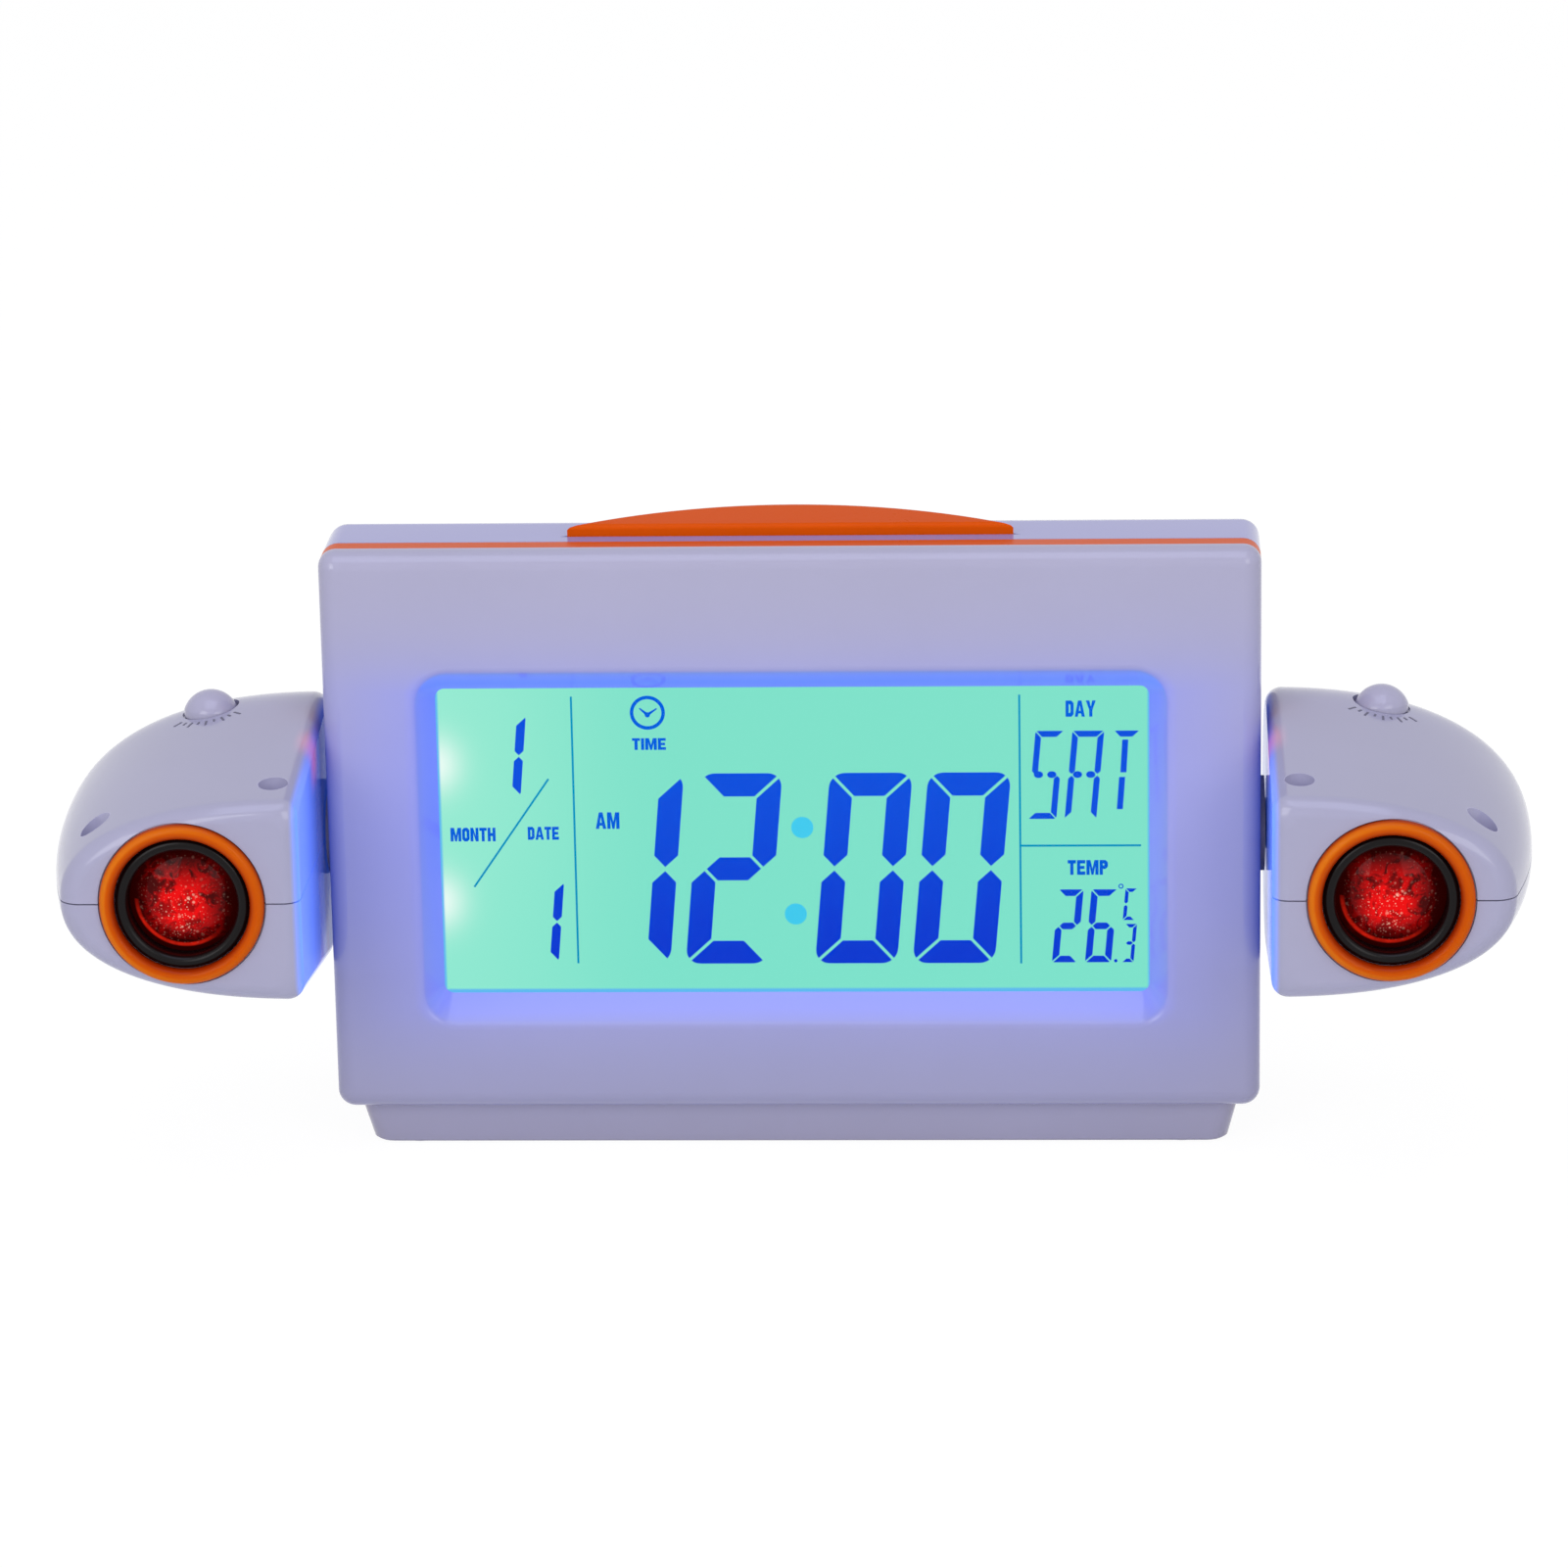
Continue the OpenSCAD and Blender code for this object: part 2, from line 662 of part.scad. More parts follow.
// Plinth: a tapered tray screwed under the body, on four rubber feet
module plinth_slab(drawn, inset, z) {
    less = 2 * (drawn + inset);
    translate([0, (plinth_y0 + plinth_y1) / 2, z]) linear_extrude(thin)
        polygon(rounded(plinth_w - less, plinth_d - less, plinth_corner_r - inset));
}
module plinth_form(inset, z0) {
    hull() {
        for (f = [0 : round_step : 90]) plinth_slab(
            plinth_taper + plinth_edge_r * (1 - sin(f)), inset, z0 + plinth_edge_r * (1 - cos(f)));
        plinth_slab(0, inset, body_z0 - thin);
    }
}
module at_feet() {
    for (side = [-1, 1], y = [plinth_y0 + foot_inset_y, plinth_y1 - foot_inset_y])
        translate([side * (plinth_w / 2 - foot_inset_x), y, 0]) children();
}
module plinth() color(shell_colour) placed() difference() {
    union() {
        difference() {
            plinth_form(0, plinth_z0);
            translate([0, 0, thin]) plinth_form(plinth_wall, plinth_z0 + plinth_wall);
        }
        at_plinth_screws() translate([0, 0, plinth_z0 + bite])
            cylinder(r = post_r + plinth_boss_wall, h = body_z0 - plinth_z0 - bite);
    }
    at_feet() cylinder(r = foot_r, h = foot_h + foot_sink);
    at_plinth_screws() {
        cylinder(r = case_screw_r + fit, h = body_z0 + bite);
        cylinder(r = plinth_head_r + slide_fit, h = plinth_z0 + plinth_head_h + slide_fit);
    }
}
module rubber_feet() color(rubber_colour) placed() at_feet() cylinder(r = foot_r, h = foot_h + foot_sink);
module plinth_screws() color(steel_colour) placed() at_plinth_screws()
    translate([0, 0, plinth_z0 + plinth_head_h + slide_fit]) {
        translate([0, 0, -plinth_head_h]) cylinder(r = plinth_head_r, h = plinth_head_h);
        cylinder(r = pilot_r, h = body_z0 + plinth_screw_l - plinth_z0 - plinth_head_h - slide_fit - bite);
    }

// Display stack, from the window back to the board
module display_window() color(clear_colour) placed() at_display(window_y, glass_y)
    polygon(rounded(view_w + 2 * window_lap, view_h + 2 * window_lap, edge_r / 2));
module display_glass() color(lit_colour) placed() at_display(glass_y, guide_y)
    square([view_w + 2 * glass_lap, view_h + 2 * glass_lap], center = true);
module at_leds() {
    for (lift = [-1, 1])
        translate([-view_w / 2 - glass_lap, guide_y, view_z + lift * led_drop - led_h / 2]) children();
}
module light_guide() color("white") placed() difference() {
    at_display(guide_y, holder_y) square([view_w + 2 * glass_lap, guide_h], center = true);
    at_leds() translate([-bite, -bite, -fit]) cube([led_w + fit + bite, guide_t + 2 * bite, led_h + 2 * fit]);
}
module backlight_leds() color("gold") placed() at_leds() cube([led_w, guide_t, led_h]);
module at_zebra() {
    for (lift = [-1, 1])
        translate([0, 0, lift * (guide_h / 2 + slide_fit + zebra_h / 2)]) children();
}
module display_holder() color("whitesmoke") placed() difference() {
    at_display(window_y, board_y) square([holder_w, holder_h], center = true);
    at_display(window_y - bite, holder_y)
        square([view_w + 2 * (window_lap + fit), view_h + 2 * (window_lap + fit)], center = true);
    at_zebra() at_display(guide_y, board_y + bite)
        square([zebra_l + 2 * fit, zebra_h + 2 * fit], center = true);
}
module zebra_strips() color(rubber_colour) placed() at_zebra() at_display(guide_y, board_y)
    square([zebra_l, zebra_h], center = true);
module main_board() color(board_colour) difference() {
    placed() at_display(board_y, board_y + board_t) square([board_w, board_h], center = true);
    placed() at_board_posts() y_rod(0, 0, case_screw_r + fit, board_y - bite, board_y + board_t + bite);
    for (side = [-1, 1]) at_pod(side) x_rod(clip_r + slide_fit, clip_x - shaft_tail - slide_fit, 0);
}
module controller_blob() color(black_colour) placed() translate([0, board_y + board_t, view_z + board_post_z])
    rotate([-90, 0, 0]) rotate_extrude() polygon(concat([[0, 0]], cap_arc(blob_r, blob_h)));
module board_screws() color(steel_colour) placed() at_board_posts() {
    y_rod(0, 0, board_head_r, board_y + board_t, board_y + board_t + board_head_h);
    y_rod(0, 0, pilot_r, board_y - board_screw_l + bite, board_y + board_t + bite);
}
module case_screws() color(steel_colour) placed() at_case_posts() {
    y_rod(0, 0, case_head_r, case_seat_y, case_seat_y + case_head_h);
    y_rod(0, 0, pilot_r, case_seat_y - case_screw_l, case_seat_y + bite);
}

// Snooze bar with its flange and stem, and the switch that it works
module bar_layer(drawn, drop) {
    translate([0, bar_y, body_z1 + bar_rise - drop]) rotate([bar_slope, 0, 0])
        translate([0, -bar_y, 0]) linear_extrude(thin) bar_plan(-drawn);
}
module snooze_bar() color(trim_colour) placed() union() {
    hull() {
        translate([0, 0, bar_flange_z - bite]) linear_extrude(thin) bar_plan(0);
        for (f = [0 : round_step : 90]) bar_layer(bar_edge_r * (1 - cos(f)), bar_edge_r * (1 - sin(f)));
    }
    translate([-bar_l / 2 - bar_flange_out, bar_y - slide_fit - bar_flange_in, bar_flange_z - bar_flange_t])
        cube([bar_l + 2 * bar_flange_out, bar_flange_d, bar_flange_t]);
    translate([0, bar_stem_y, bar_flange_z - bar_flange_t - bar_stem_l])
        cylinder(r = bar_stem_r, h = bar_stem_l + bite);
}
module tact_switch() {
    block(switch_size, switch_size, 0, switch_h);
    translate([0, 0, switch_h - bite]) cylinder(r = plunger_r, h = plunger_h + bite);
}
module snooze_switch() color(black_colour) placed() translate([0, bar_stem_y, bar_switch_z]) tact_switch();
module snooze_board() color(board_colour) placed() translate([0, bar_stem_y, 0])
    block(snooze_board_l, snooze_board_d, bar_switch_z - board_t, bar_switch_z);

// Rear keys, with their board and switches
module at_key(i) { on_back(((key_n - 1) / 2 - i) * -key_pitch, key_z) children(); }
module rear_key(i) color(shell_colour) placed() at_key(i) {
    flange_top = -wall - press_gap;
    pad(key_w, key_h, key_corner_r, flange_top - bite, key_proud);
    block(key_w + 2 * key_flange_out, key_h + 2 * key_flange_out, flange_top - key_flange_t, flange_top);
    translate([0, 0, flange_top - key_flange_t - key_stem_l]) cylinder(r = key_stem_r, h = key_stem_l + bite);
}
module tact_switches() color(black_colour) placed() for (i = [0 : key_n - 1])
    at_key(i) translate([0, 0, -key_board_top]) tact_switch();
module key_board() color(board_colour) placed() on_back(0, key_z)
    block(key_board_w, key_board_h, -key_board_top - board_t, -key_board_top);

// Speaker, power inlet and slide switch
module speaker() color(rubber_colour) placed() on_back(speaker_x, speaker_z)
    translate([0, 0, -wall - speaker_step - speaker_h]) difference() {
        union() {
            translate([0, 0, speaker_h / 2]) cylinder(r = speaker_r, h = speaker_h / 2);
            cylinder(r = speaker_r / 2, h = speaker_h);
        }
        translate([0, 0, speaker_h - speaker_cone_d])
            cylinder(r1 = speaker_cap_r, r2 = speaker_r - speaker_rim, h = speaker_cone_d + thin);
    }
module power_inlet() color(black_colour) placed() on_back(inlet_x, inlet_z) union() {
    difference() {
        union() {
            block(inlet_w, inlet_h, -wall - inlet_l, -wall);
            translate([0, 0, -wall - bite]) cylinder(r = inlet_collar_r, h = wall + bite);
        }
        translate([0, 0, -inlet_depth]) cylinder(r = inlet_r, h = inlet_depth + bite);
    }
    translate([0, 0, -inlet_depth - bite]) cylinder(r = inlet_pin_r, h = inlet_depth - inlet_pin_short);
}
module slide_switch() color(steel_colour) placed() on_back(slide_x, slide_z) difference() {
    block(slide_w, slide_h, -wall - slide_t, -wall);
    block(slider_w + slider_travel + 2 * slide_fit, slider_h + 2 * slide_fit,
        -wall - slide_slot_d, -wall + bite);
}
module switch_slider() color(black_colour) placed() on_back(slide_x, slide_z)
    translate([-slider_travel / 2, 0, 0])
        block(slider_w, slider_h, -wall - slide_slot_d + slide_fit, slider_proud);

// Battery bay: door, cells, springs and plates
module at_cells() {
    for (i = [0 : cell_count - 1]) on_back(0, bay_z)
        translate([0, (i - (cell_count - 1) / 2) * cell_pitch, -door_t - cell_drop - cell_r])
            mirror([i % 2, 0, 0]) children();
}
module battery_door() color(shell_colour) placed() on_back(0, bay_z) difference() {
    block(bay_w + 2 * (door_rebate - door_fit), bay_h + 2 * (door_rebate - door_fit), -door_t, 0);
    for (i = [0 : grip_n - 1]) translate([0, bay_h / 2 - grip_top - grip_pitch * i, 0])
        block(grip_w, grip_groove, -grip_depth, bite);
}
module battery_cells() color("goldenrod") placed() at_cells()
    translate([-bay_w / 2 + plate_t + spring_l + fit, 0, 0]) rotate([0, 90, 0]) {
        cylinder(r = cell_r, h = cell_l);
        translate([0, 0, cell_l - bite]) cylinder(r = nub_r, h = nub_l + bite);
    }
module battery_plates() color(steel_colour) placed() at_cells() for (x = [-bay_w / 2, bay_w / 2 - plate_t])
    translate([x, plate_inset - cell_r, plate_inset - cell_r])
        cube([plate_t, 2 * (cell_r - plate_inset), 2 * (cell_r - plate_inset)]);

// One tapering coil: rings of points swept along a helix, closed at both ends
function coil_centre(t) =
    let (a = 360 * spring_turns * t, r = spring_wide_r + (spring_tight_r - spring_wide_r) * t)
    [spring_wire_r + (spring_l - 2 * spring_wire_r) * t, r * cos(a), r * sin(a)];
function coil_ring(t) = let (a = 360 * spring_turns * t) [for (k = [0 : spring_sides - 1])
    let (f = 360 * k / spring_sides) coil_centre(t)
        + spring_wire_r * (cos(f) * [1, 0, 0] + sin(f) * [0, cos(a), sin(a)])];
module coil() {
    rings = ceil(spring_turns * spring_ring_n);
    n = spring_sides;
    polyhedron(
        points = [for (i = [0 : rings]) each coil_ring(i / rings)],
        faces = concat(
            [for (i = [0 : rings - 1], k = [0 : n - 1])
                let (p = i * n + k, q = i * n + (k + 1) % n) [p, q, q + n]],
            [for (i = [0 : rings - 1], k = [0 : n - 1])
                let (p = i * n + k, q = i * n + (k + 1) % n) [p, q + n, p + n]],
            [[for (k = [n - 1 : -1 : 0]) k], [for (k = [0 : n - 1]) rings * n + k]]));
}
module battery_springs() color(steel_colour) placed() at_cells()
    translate([-bay_w / 2 + plate_t, 0, 0]) coil();

// Washers between the body and the pods
module at_pod(side) {
    placed() mirror([side < 0 ? 1 : 0, 0, 0]) translate([pod_x0, pivot_y, pivot_z]) children();
}
module x_rod(r, from, to) { translate([from, 0, 0]) rotate([0, 90, 0]) cylinder(r = r, h = to - from); }
module pivot_washers() color(rubber_colour) for (side = [-1, 1]) at_pod(side) difference() {
    x_rod(washer_r, -pod_gap, -washer_slack);
    x_rod(shaft_r + slide_fit, -pod_gap - bite, bite);
}

// Pod: the solid of its outer form, drawn in by an inset
function pod_stations(inset, r) = concat(
    [for (f = [0 : round_step : 90 - round_step]) [-pod_reach + inset + r * (1 - cos(f)), r * (1 - sin(f))]],
    [for (i = [0 : pod_flat_steps]) [(-pod_reach + inset + r) * (1 - i / pod_flat_steps), 0]],
    [for (f = [pod_tail_step : pod_tail_step : pod_tail_end]) [(pod_r - inset) * sin(f), 0]]);
module pod_form(inset) {
    hull() for (s = pod_stations(inset, max(pod_edge_r - inset, bite)))
        along_y(s[0], s[0] + thin) polygon(pod_section(s[0], inset, s[1]));
}
module along_lens(from, to) {
    translate([lens_x, -from, 0]) rotate([90, 0, 0]) linear_extrude(to - from) children();
}
module turned_on_lens() { translate([lens_x, 0, 0]) rotate([90, 0, 0]) rotate_extrude($fn = 96) children(); }
module lens_rod(r, from, to) {
    translate([lens_x, -from, 0]) rotate([90, 0, 0]) cylinder(r = r, h = to - from);
}
module half_space(up) { translate([-big / 2, -big / 2, up ? seam_gap / 2 : -big - seam_gap / 2]) cube(big); }
module at_pod_posts() { for (p = pod_posts) translate([p[0], p[1], 0]) children(); }
knob_seat_z = pod_top(lens_x, knob_y) - knob_sink;
module pod_cuts() {
    lens_rod(port_r, pod_reach - pod_wall - bite, pod_reach + bite);
    turned_on_lens() translate([port_r - fit, pod_reach - ring_sink])
        square([ring_w + 2 * fit, ring_sink + bite]);
    x_rod(shaft_r + shaft_fit, -bite, pod_wall + bite);
}
module pod_upper_shell(side) color(shell_colour) at_pod(side) difference() {
    intersection() {
        pod_form(0);
        half_space(true);
        union() {
            difference() {
                translate([-bite, -big / 2, -bite]) cube(big);
                pod_form(pod_wall);
            }
            at_pod_posts() cylinder(r = pod_post_r, h = big);
            translate([lens_x, knob_y, knob_seat_z - knob_boss_t]) cylinder(r = knob_boss_r, h = big);
        }
    }
    pod_cuts();
    at_pod_posts() {
        translate([0, 0, -bite]) cylinder(r = pod_screw_r + fit, h = big);
        translate([0, 0, pod_seat_z]) cylinder(r = pod_hole_r, h = big);
    }
    translate([lens_x, knob_y, knob_seat_z]) cylinder(r = knob_r + knob_fit, h = big);
    translate([lens_x, knob_y, 0]) cylinder(r = knob_stem_r + slide_fit / 2, h = big);
}
module pod_lower_shell(side) color(shell_colour) at_pod(side) difference() {
    intersection() {
        pod_form(0);
        half_space(false);
        union() {
            difference() {
                translate([-bite, -big / 2, -big + bite]) cube(big);
                pod_form(pod_wall);
            }
            at_pod_posts() translate([0, 0, -big]) cylinder(r = pod_post_r, h = big);
            for (x = [-rail_x, rail_x])
                translate([lens_x + x - rail_t / 2, -carrier_front, -big - carrier_half_h - slide_fit])
                    cube([rail_t, carrier_front - carrier_back, big]);
        }
    }
    pod_cuts();
    at_pod_posts() translate([0, 0, pod_seat_z - pod_screw_l - bite]) cylinder(r = pilot_r, h = pod_screw_l);
}
module pod_screws(side) color(steel_colour) at_pod(side) at_pod_posts() translate([0, 0, pod_seat_z]) {
    cylinder(r = pod_head_r, h = pod_head_h);
    translate([0, 0, -pod_screw_l]) cylinder(r = pilot_r, h = pod_screw_l + bite);
}

// Trim ring, barrel and lens, turned about the lens axis
module trim_ring(side) color(trim_colour) at_pod(side) turned_on_lens() {
    translate([port_r, pod_reach - ring_sink]) square([ring_w, ring_sink + ring_proud - ring_w / 2]);
    translate([port_r + ring_w / 2, pod_reach + ring_proud - ring_w / 2]) intersection() {
        circle(r = ring_w / 2);
        translate([-ring_w, 0]) square(2 * ring_w);
    }
}
module lens_barrel(side) color(black_colour) at_pod(side) turned_on_lens() polygon([
    [barrel_open_r, lens_back + lens_edge_t + lens_dome_h + fit], [barrel_open_r, barrel_front],
    [barrel_r, barrel_front], [barrel_r, barrel_flange_front], [barrel_flange_r, barrel_flange_front],
    [barrel_flange_r, barrel_flange_front - barrel_flange_t],
    [barrel_tube_r, barrel_flange_front - barrel_flange_t],
    [barrel_tube_r, barrel_tail], [lens_r - lens_stop_t, barrel_tail], [lens_r - lens_stop_t, lens_back],
    [lens_r + tiny, lens_back], [lens_r + tiny, lens_back + lens_edge_t + lens_dome_h + fit]]);
module lens(side) color(lens_colour) at_pod(side) translate([lens_x, -lens_back, 0]) rotate([90, 0, 0]) {
    dome_r = (lens_r * lens_r + lens_dome_h * lens_dome_h) / (2 * lens_dome_h);
    intersection() {
        cylinder(r = lens_r, h = lens_edge_t + lens_dome_h);
        translate([0, 0, lens_edge_t + lens_dome_h - dome_r]) sphere(r = dome_r);
    }
}

// Focus knob: a dome, a stem with a snap barb, and the pin that moves the carrier
module focus_knob(side) color(shell_colour) at_pod(side) translate([lens_x, knob_y, knob_seat_z]) {
    dome_r = (knob_r * knob_r + knob_dome_h * knob_dome_h) / (2 * knob_dome_h);
    barb_z = -knob_boss_t - slide_fit;
    pin_z = carrier_half_h + pin_floor - knob_seat_z;
    translate([0, 0, slide_fit]) cylinder(r = knob_r, h = knob_rim_h);
    intersection() {
        translate([0, 0, slide_fit + knob_rim_h / 2]) cylinder(r = knob_r, h = knob_dome_h + knob_rim_h / 2);
        translate([0, 0, slide_fit + knob_rim_h + knob_dome_h - dome_r]) sphere(r = dome_r);
    }
    translate([0, 0, barb_z - barb_t]) cylinder(r = knob_stem_r, h = barb_t - barb_z + slide_fit + bite);
    translate([0, 0, barb_z - barb_t]) cylinder(r = barb_r, h = barb_t);
    translate([pin_offset, 0, pin_z]) cylinder(r = pin_r, h = barb_z - barb_t / 2 - pin_z);
}

// Film carrier with its light tunnel and fork, the film, the LED and its board
module film_carrier(side) color(black_colour) at_pod(side) {
    difference() {
        along_lens(carrier_back, carrier_front) square([2 * carrier_half, 2 * carrier_half_h], center = true);
        along_lens(carrier_back - bite, carrier_front + bite) square(tunnel, center = true);
    }
    for (way = [-1, 1]) translate([lens_x, knob_y + way * (pin_r + pin_fit + fork_t / 2), 0])
        block(2 * (carrier_half - fork_inset), fork_t, carrier_half_h - bite, carrier_half_h + fork_h);
}
module image_film(side) color(clear_colour) at_pod(side) along_lens(carrier_front, carrier_front + film_t)
    square(film_size, center = true);
module led_board(side) color(board_colour) at_pod(side) along_lens(carrier_back - led_board_t, carrier_back)
    square([2 * carrier_half, 2 * carrier_half_h], center = true);
module led(side) color("red") at_pod(side) union() {
    lens_rod(led_r, carrier_back, carrier_back + led_l);
    translate([lens_x, -carrier_back - led_l, 0]) sphere(r = led_r);
}

// Hollow pivot shaft and the clip that keeps it in the body
module pivot_shaft(side) color(black_colour) at_pod(side) difference() {
    union() {
        x_rod(shaft_r, clip_x - shaft_tail, pod_wall + bite);
        x_rod(shaft_flange_r, pod_wall, pod_wall + shaft_flange_t);
    }
    x_rod(shaft_bore_r, clip_x - shaft_tail - bite, pod_wall + shaft_flange_t + bite);
    difference() {
        x_rod(shaft_r + bite, clip_x - fit, clip_x + clip_t + fit);
        x_rod(shaft_r - clip_sink, clip_x - bite, clip_x + clip_t + bite);
    }
}
module pivot_clip(side) color(steel_colour) at_pod(side) difference() {
    x_rod(clip_r, clip_x, clip_x + clip_t);
    x_rod(shaft_r - clip_sink, clip_x - bite, clip_x + clip_t + bite);
    translate([clip_x - bite, clip_jaw - shaft_r, 0])
        cube([clip_t + 2 * bite, 2 * (shaft_r - clip_jaw), clip_r + bite]);
}

front_shell();
trim_band();
rear_shell();
plinth();
rubber_feet();
display_window();
display_glass();
light_guide();
backlight_leds();
display_holder();
zebra_strips();
main_board();
controller_blob();
board_screws();
key_board();
tact_switches();
snooze_board();
snooze_switch();
speaker();
battery_springs();
battery_plates();
battery_cells();
power_inlet();
slide_switch();
case_screws();
plinth_screws();
pivot_washers();
snooze_bar();
battery_door();
rear_key(0);  // mode_key
rear_key(1);  // set_key
rear_key(2);  // up_key
rear_key(3);  // down_key
switch_slider();
pod_upper_shell(-1);  // left_upper_shell
pod_lower_shell(-1);  // left_lower_shell
trim_ring(-1);  // left_trim_ring
lens_barrel(-1);  // left_lens_barrel
lens(-1);  // left_lens
focus_knob(-1);  // left_focus_knob
film_carrier(-1);  // left_film_carrier
image_film(-1);  // left_image_film
led(-1);  // left_led
led_board(-1);  // left_led_board
pivot_shaft(-1);  // left_pivot_shaft
pivot_clip(-1);  // left_pivot_clip
pod_screws(-1);  // left_pod_screws
pod_upper_shell(1);  // right_upper_shell
pod_lower_shell(1);  // right_lower_shell
trim_ring(1);  // right_trim_ring
lens_barrel(1);  // right_lens_barrel
lens(1);  // right_lens
focus_knob(1);  // right_focus_knob
film_carrier(1);  // right_film_carrier
image_film(1);  // right_image_film
led(1);  // right_led
led_board(1);  // right_led_board
pivot_shaft(1);  // right_pivot_shaft
pivot_clip(1);  // right_pivot_clip
pod_screws(1);  // right_pod_screws
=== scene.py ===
"""Looks of a desk alarm clock with two side projectors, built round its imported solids."""

import json
import logging
import math
from collections.abc import Iterable, Sequence
from dataclasses import dataclass
from enum import Enum

import bmesh
import bpy
from bmesh.types import BMEdge, BMesh, BMFace, BMVert
from bpy.types import Material, NodeSocket, NodeTree, Object
from mathutils import Matrix, Vector


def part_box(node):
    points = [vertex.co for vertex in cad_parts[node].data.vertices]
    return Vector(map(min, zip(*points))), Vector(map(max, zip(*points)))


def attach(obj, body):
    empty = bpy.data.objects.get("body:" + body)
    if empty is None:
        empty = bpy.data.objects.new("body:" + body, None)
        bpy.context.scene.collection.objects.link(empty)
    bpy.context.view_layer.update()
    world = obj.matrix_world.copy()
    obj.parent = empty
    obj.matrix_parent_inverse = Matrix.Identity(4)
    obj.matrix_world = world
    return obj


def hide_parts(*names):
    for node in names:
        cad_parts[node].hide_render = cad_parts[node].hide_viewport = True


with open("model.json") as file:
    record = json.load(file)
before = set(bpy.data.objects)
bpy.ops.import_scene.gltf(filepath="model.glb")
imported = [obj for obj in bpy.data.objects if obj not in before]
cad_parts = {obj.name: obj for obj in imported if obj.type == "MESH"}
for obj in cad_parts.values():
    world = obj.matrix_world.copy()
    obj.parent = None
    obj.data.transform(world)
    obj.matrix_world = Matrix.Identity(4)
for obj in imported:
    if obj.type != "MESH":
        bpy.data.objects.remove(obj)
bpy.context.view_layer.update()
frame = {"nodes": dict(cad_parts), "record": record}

LOG = logging.getLogger("clock")
MM = 0.001
FRONT_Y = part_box("front_shell")[0].y
TO_MODEL = Matrix.Translation((0.0, FRONT_Y, 0.0)) @ Matrix.Scale(MM, 4)
FACING = Matrix.Rotation(math.radians(90.0), 4, "X")
MERGE = 1e-4
CREASE = math.radians(35.0)
FLAT = math.radians(0.2)

Colour = tuple[float, float, float, float]
Line = tuple[float, float, float, float]
Point = tuple[float, float]
Span = tuple[float, float]
Triple = tuple[float, float, float]
Sockets = dict[str | int, object]
BLACK: Colour = (0.0, 0.0, 0.0, 1.0)
WHITE: Colour = (1.0, 1.0, 1.0, 1.0)
MATERIALS: dict[str, Material] = {}


class Cut(Enum):
    """Which part of a shape a cut keeps."""

    OUTSIDE = "DIFFERENCE"
    INSIDE = "INTERSECT"


class Side(Enum):
    """Side of the clock."""

    RIGHT = "right"
    LEFT = "left"


def tint(red: int, green: int, blue: int) -> Colour:
    """Turns a screen colour into the linear colour that a shader takes.

    Args:
        red: Red level from 0 to 255.
        green: Green level from 0 to 255.
        blue: Blue level from 0 to 255.

    Returns:
        The linear colour with full alpha.
    """
    shares = [level / 255.0 for level in (red, green, blue)]
    levels = [s / 12.92 if s <= 0.04045 else ((s + 0.055) / 1.055) ** 2.4 for s in shares]
    return (levels[0], levels[1], levels[2], 1.0)


def shaded(colour: Colour, share: float) -> Colour:
    """A colour made darker or lighter by a share."""
    return (colour[0] * share, colour[1] * share, colour[2] * share, 1.0)


def arc(centre: Point, radius: float, start: float, end: float, steps: int) -> list[Point]:
    """Points along an arc.

    Args:
        centre: Centre of the arc.
        radius: Its radius.
        start: Angle of the first point in degrees.
        end: Angle of the last point in degrees.
        steps: Number of steps between them.

    Returns:
        The points from start to end.
    """
    turns = [math.radians(start + (end - start) * i / steps) for i in range(steps + 1)]
    return [(centre[0] + radius * math.cos(t), centre[1] + radius * math.sin(t)) for t in turns]


class Value:
    """A shader socket that takes part in Python sums."""

    def __init__(self, graph: "Graph", socket: NodeSocket) -> None:
        """Keeps the socket and the graph that it belongs to."""
        self.graph = graph
        self.socket = socket

    def output(self, key: str | int) -> "Value":
        """Another output of the same node."""
        return Value(self.graph, self.socket.node.outputs[key])

    def __add__(self, other: "Value | float") -> "Value":
        """Sum of two values."""
        return self.graph.math("ADD", self, other)

    __radd__ = __add__

    def __sub__(self, other: "Value | float") -> "Value":
        """This value less another."""
        return self.graph.math("SUBTRACT", self, other)

    def __rsub__(self, other: float) -> "Value":
        """A number less this value."""
        return self.graph.math("SUBTRACT", other, self)

    def __mul__(self, other: "Value | float") -> "Value":
        """Product of two values."""
        return self.graph.math("MULTIPLY", self, other)

    __rmul__ = __mul__

    def __truediv__(self, other: "Value | float") -> "Value":
        """This value divided by another."""
        return self.graph.math("DIVIDE", self, other)

    def __rtruediv__(self, other: float) -> "Value":
        """A number divided by this value."""
        return self.graph.math("DIVIDE", other, self)

    def __pow__(self, other: float) -> "Value":
        """This value to a power."""
        return self.graph.math("POWER", self, other)

    def __rpow__(self, other: float) -> "Value":
        """A number to the power of this value."""
        return self.graph.math("POWER", other, self)

    def __neg__(self) -> "Value":
        """This value with its sign turned."""
        return self * -1.0

    def __abs__(self) -> "Value":
        """This value without its sign."""
        return self.graph.math("ABSOLUTE", self)

    def above(self, low: "Value | float") -> "Value":
        """This value, or the other where that is larger."""
        return self.graph.math("MAXIMUM", self, low)

    def below(self, high: "Value | float") -> "Value":
        """This value, or the other where that is smaller."""
        return self.graph.math("MINIMUM", self, high)

    def rise(self, low: float, high: float) -> "Value":
        """Smooth step from 0 at the low mark to 1 at the high mark."""
        marks = {0: self, 1: low, 2: high, 3: 0.0, 4: 1.0}
        return self.graph.node("ShaderNodeMapRange", {"interpolation_type": "SMOOTHSTEP"}, marks)


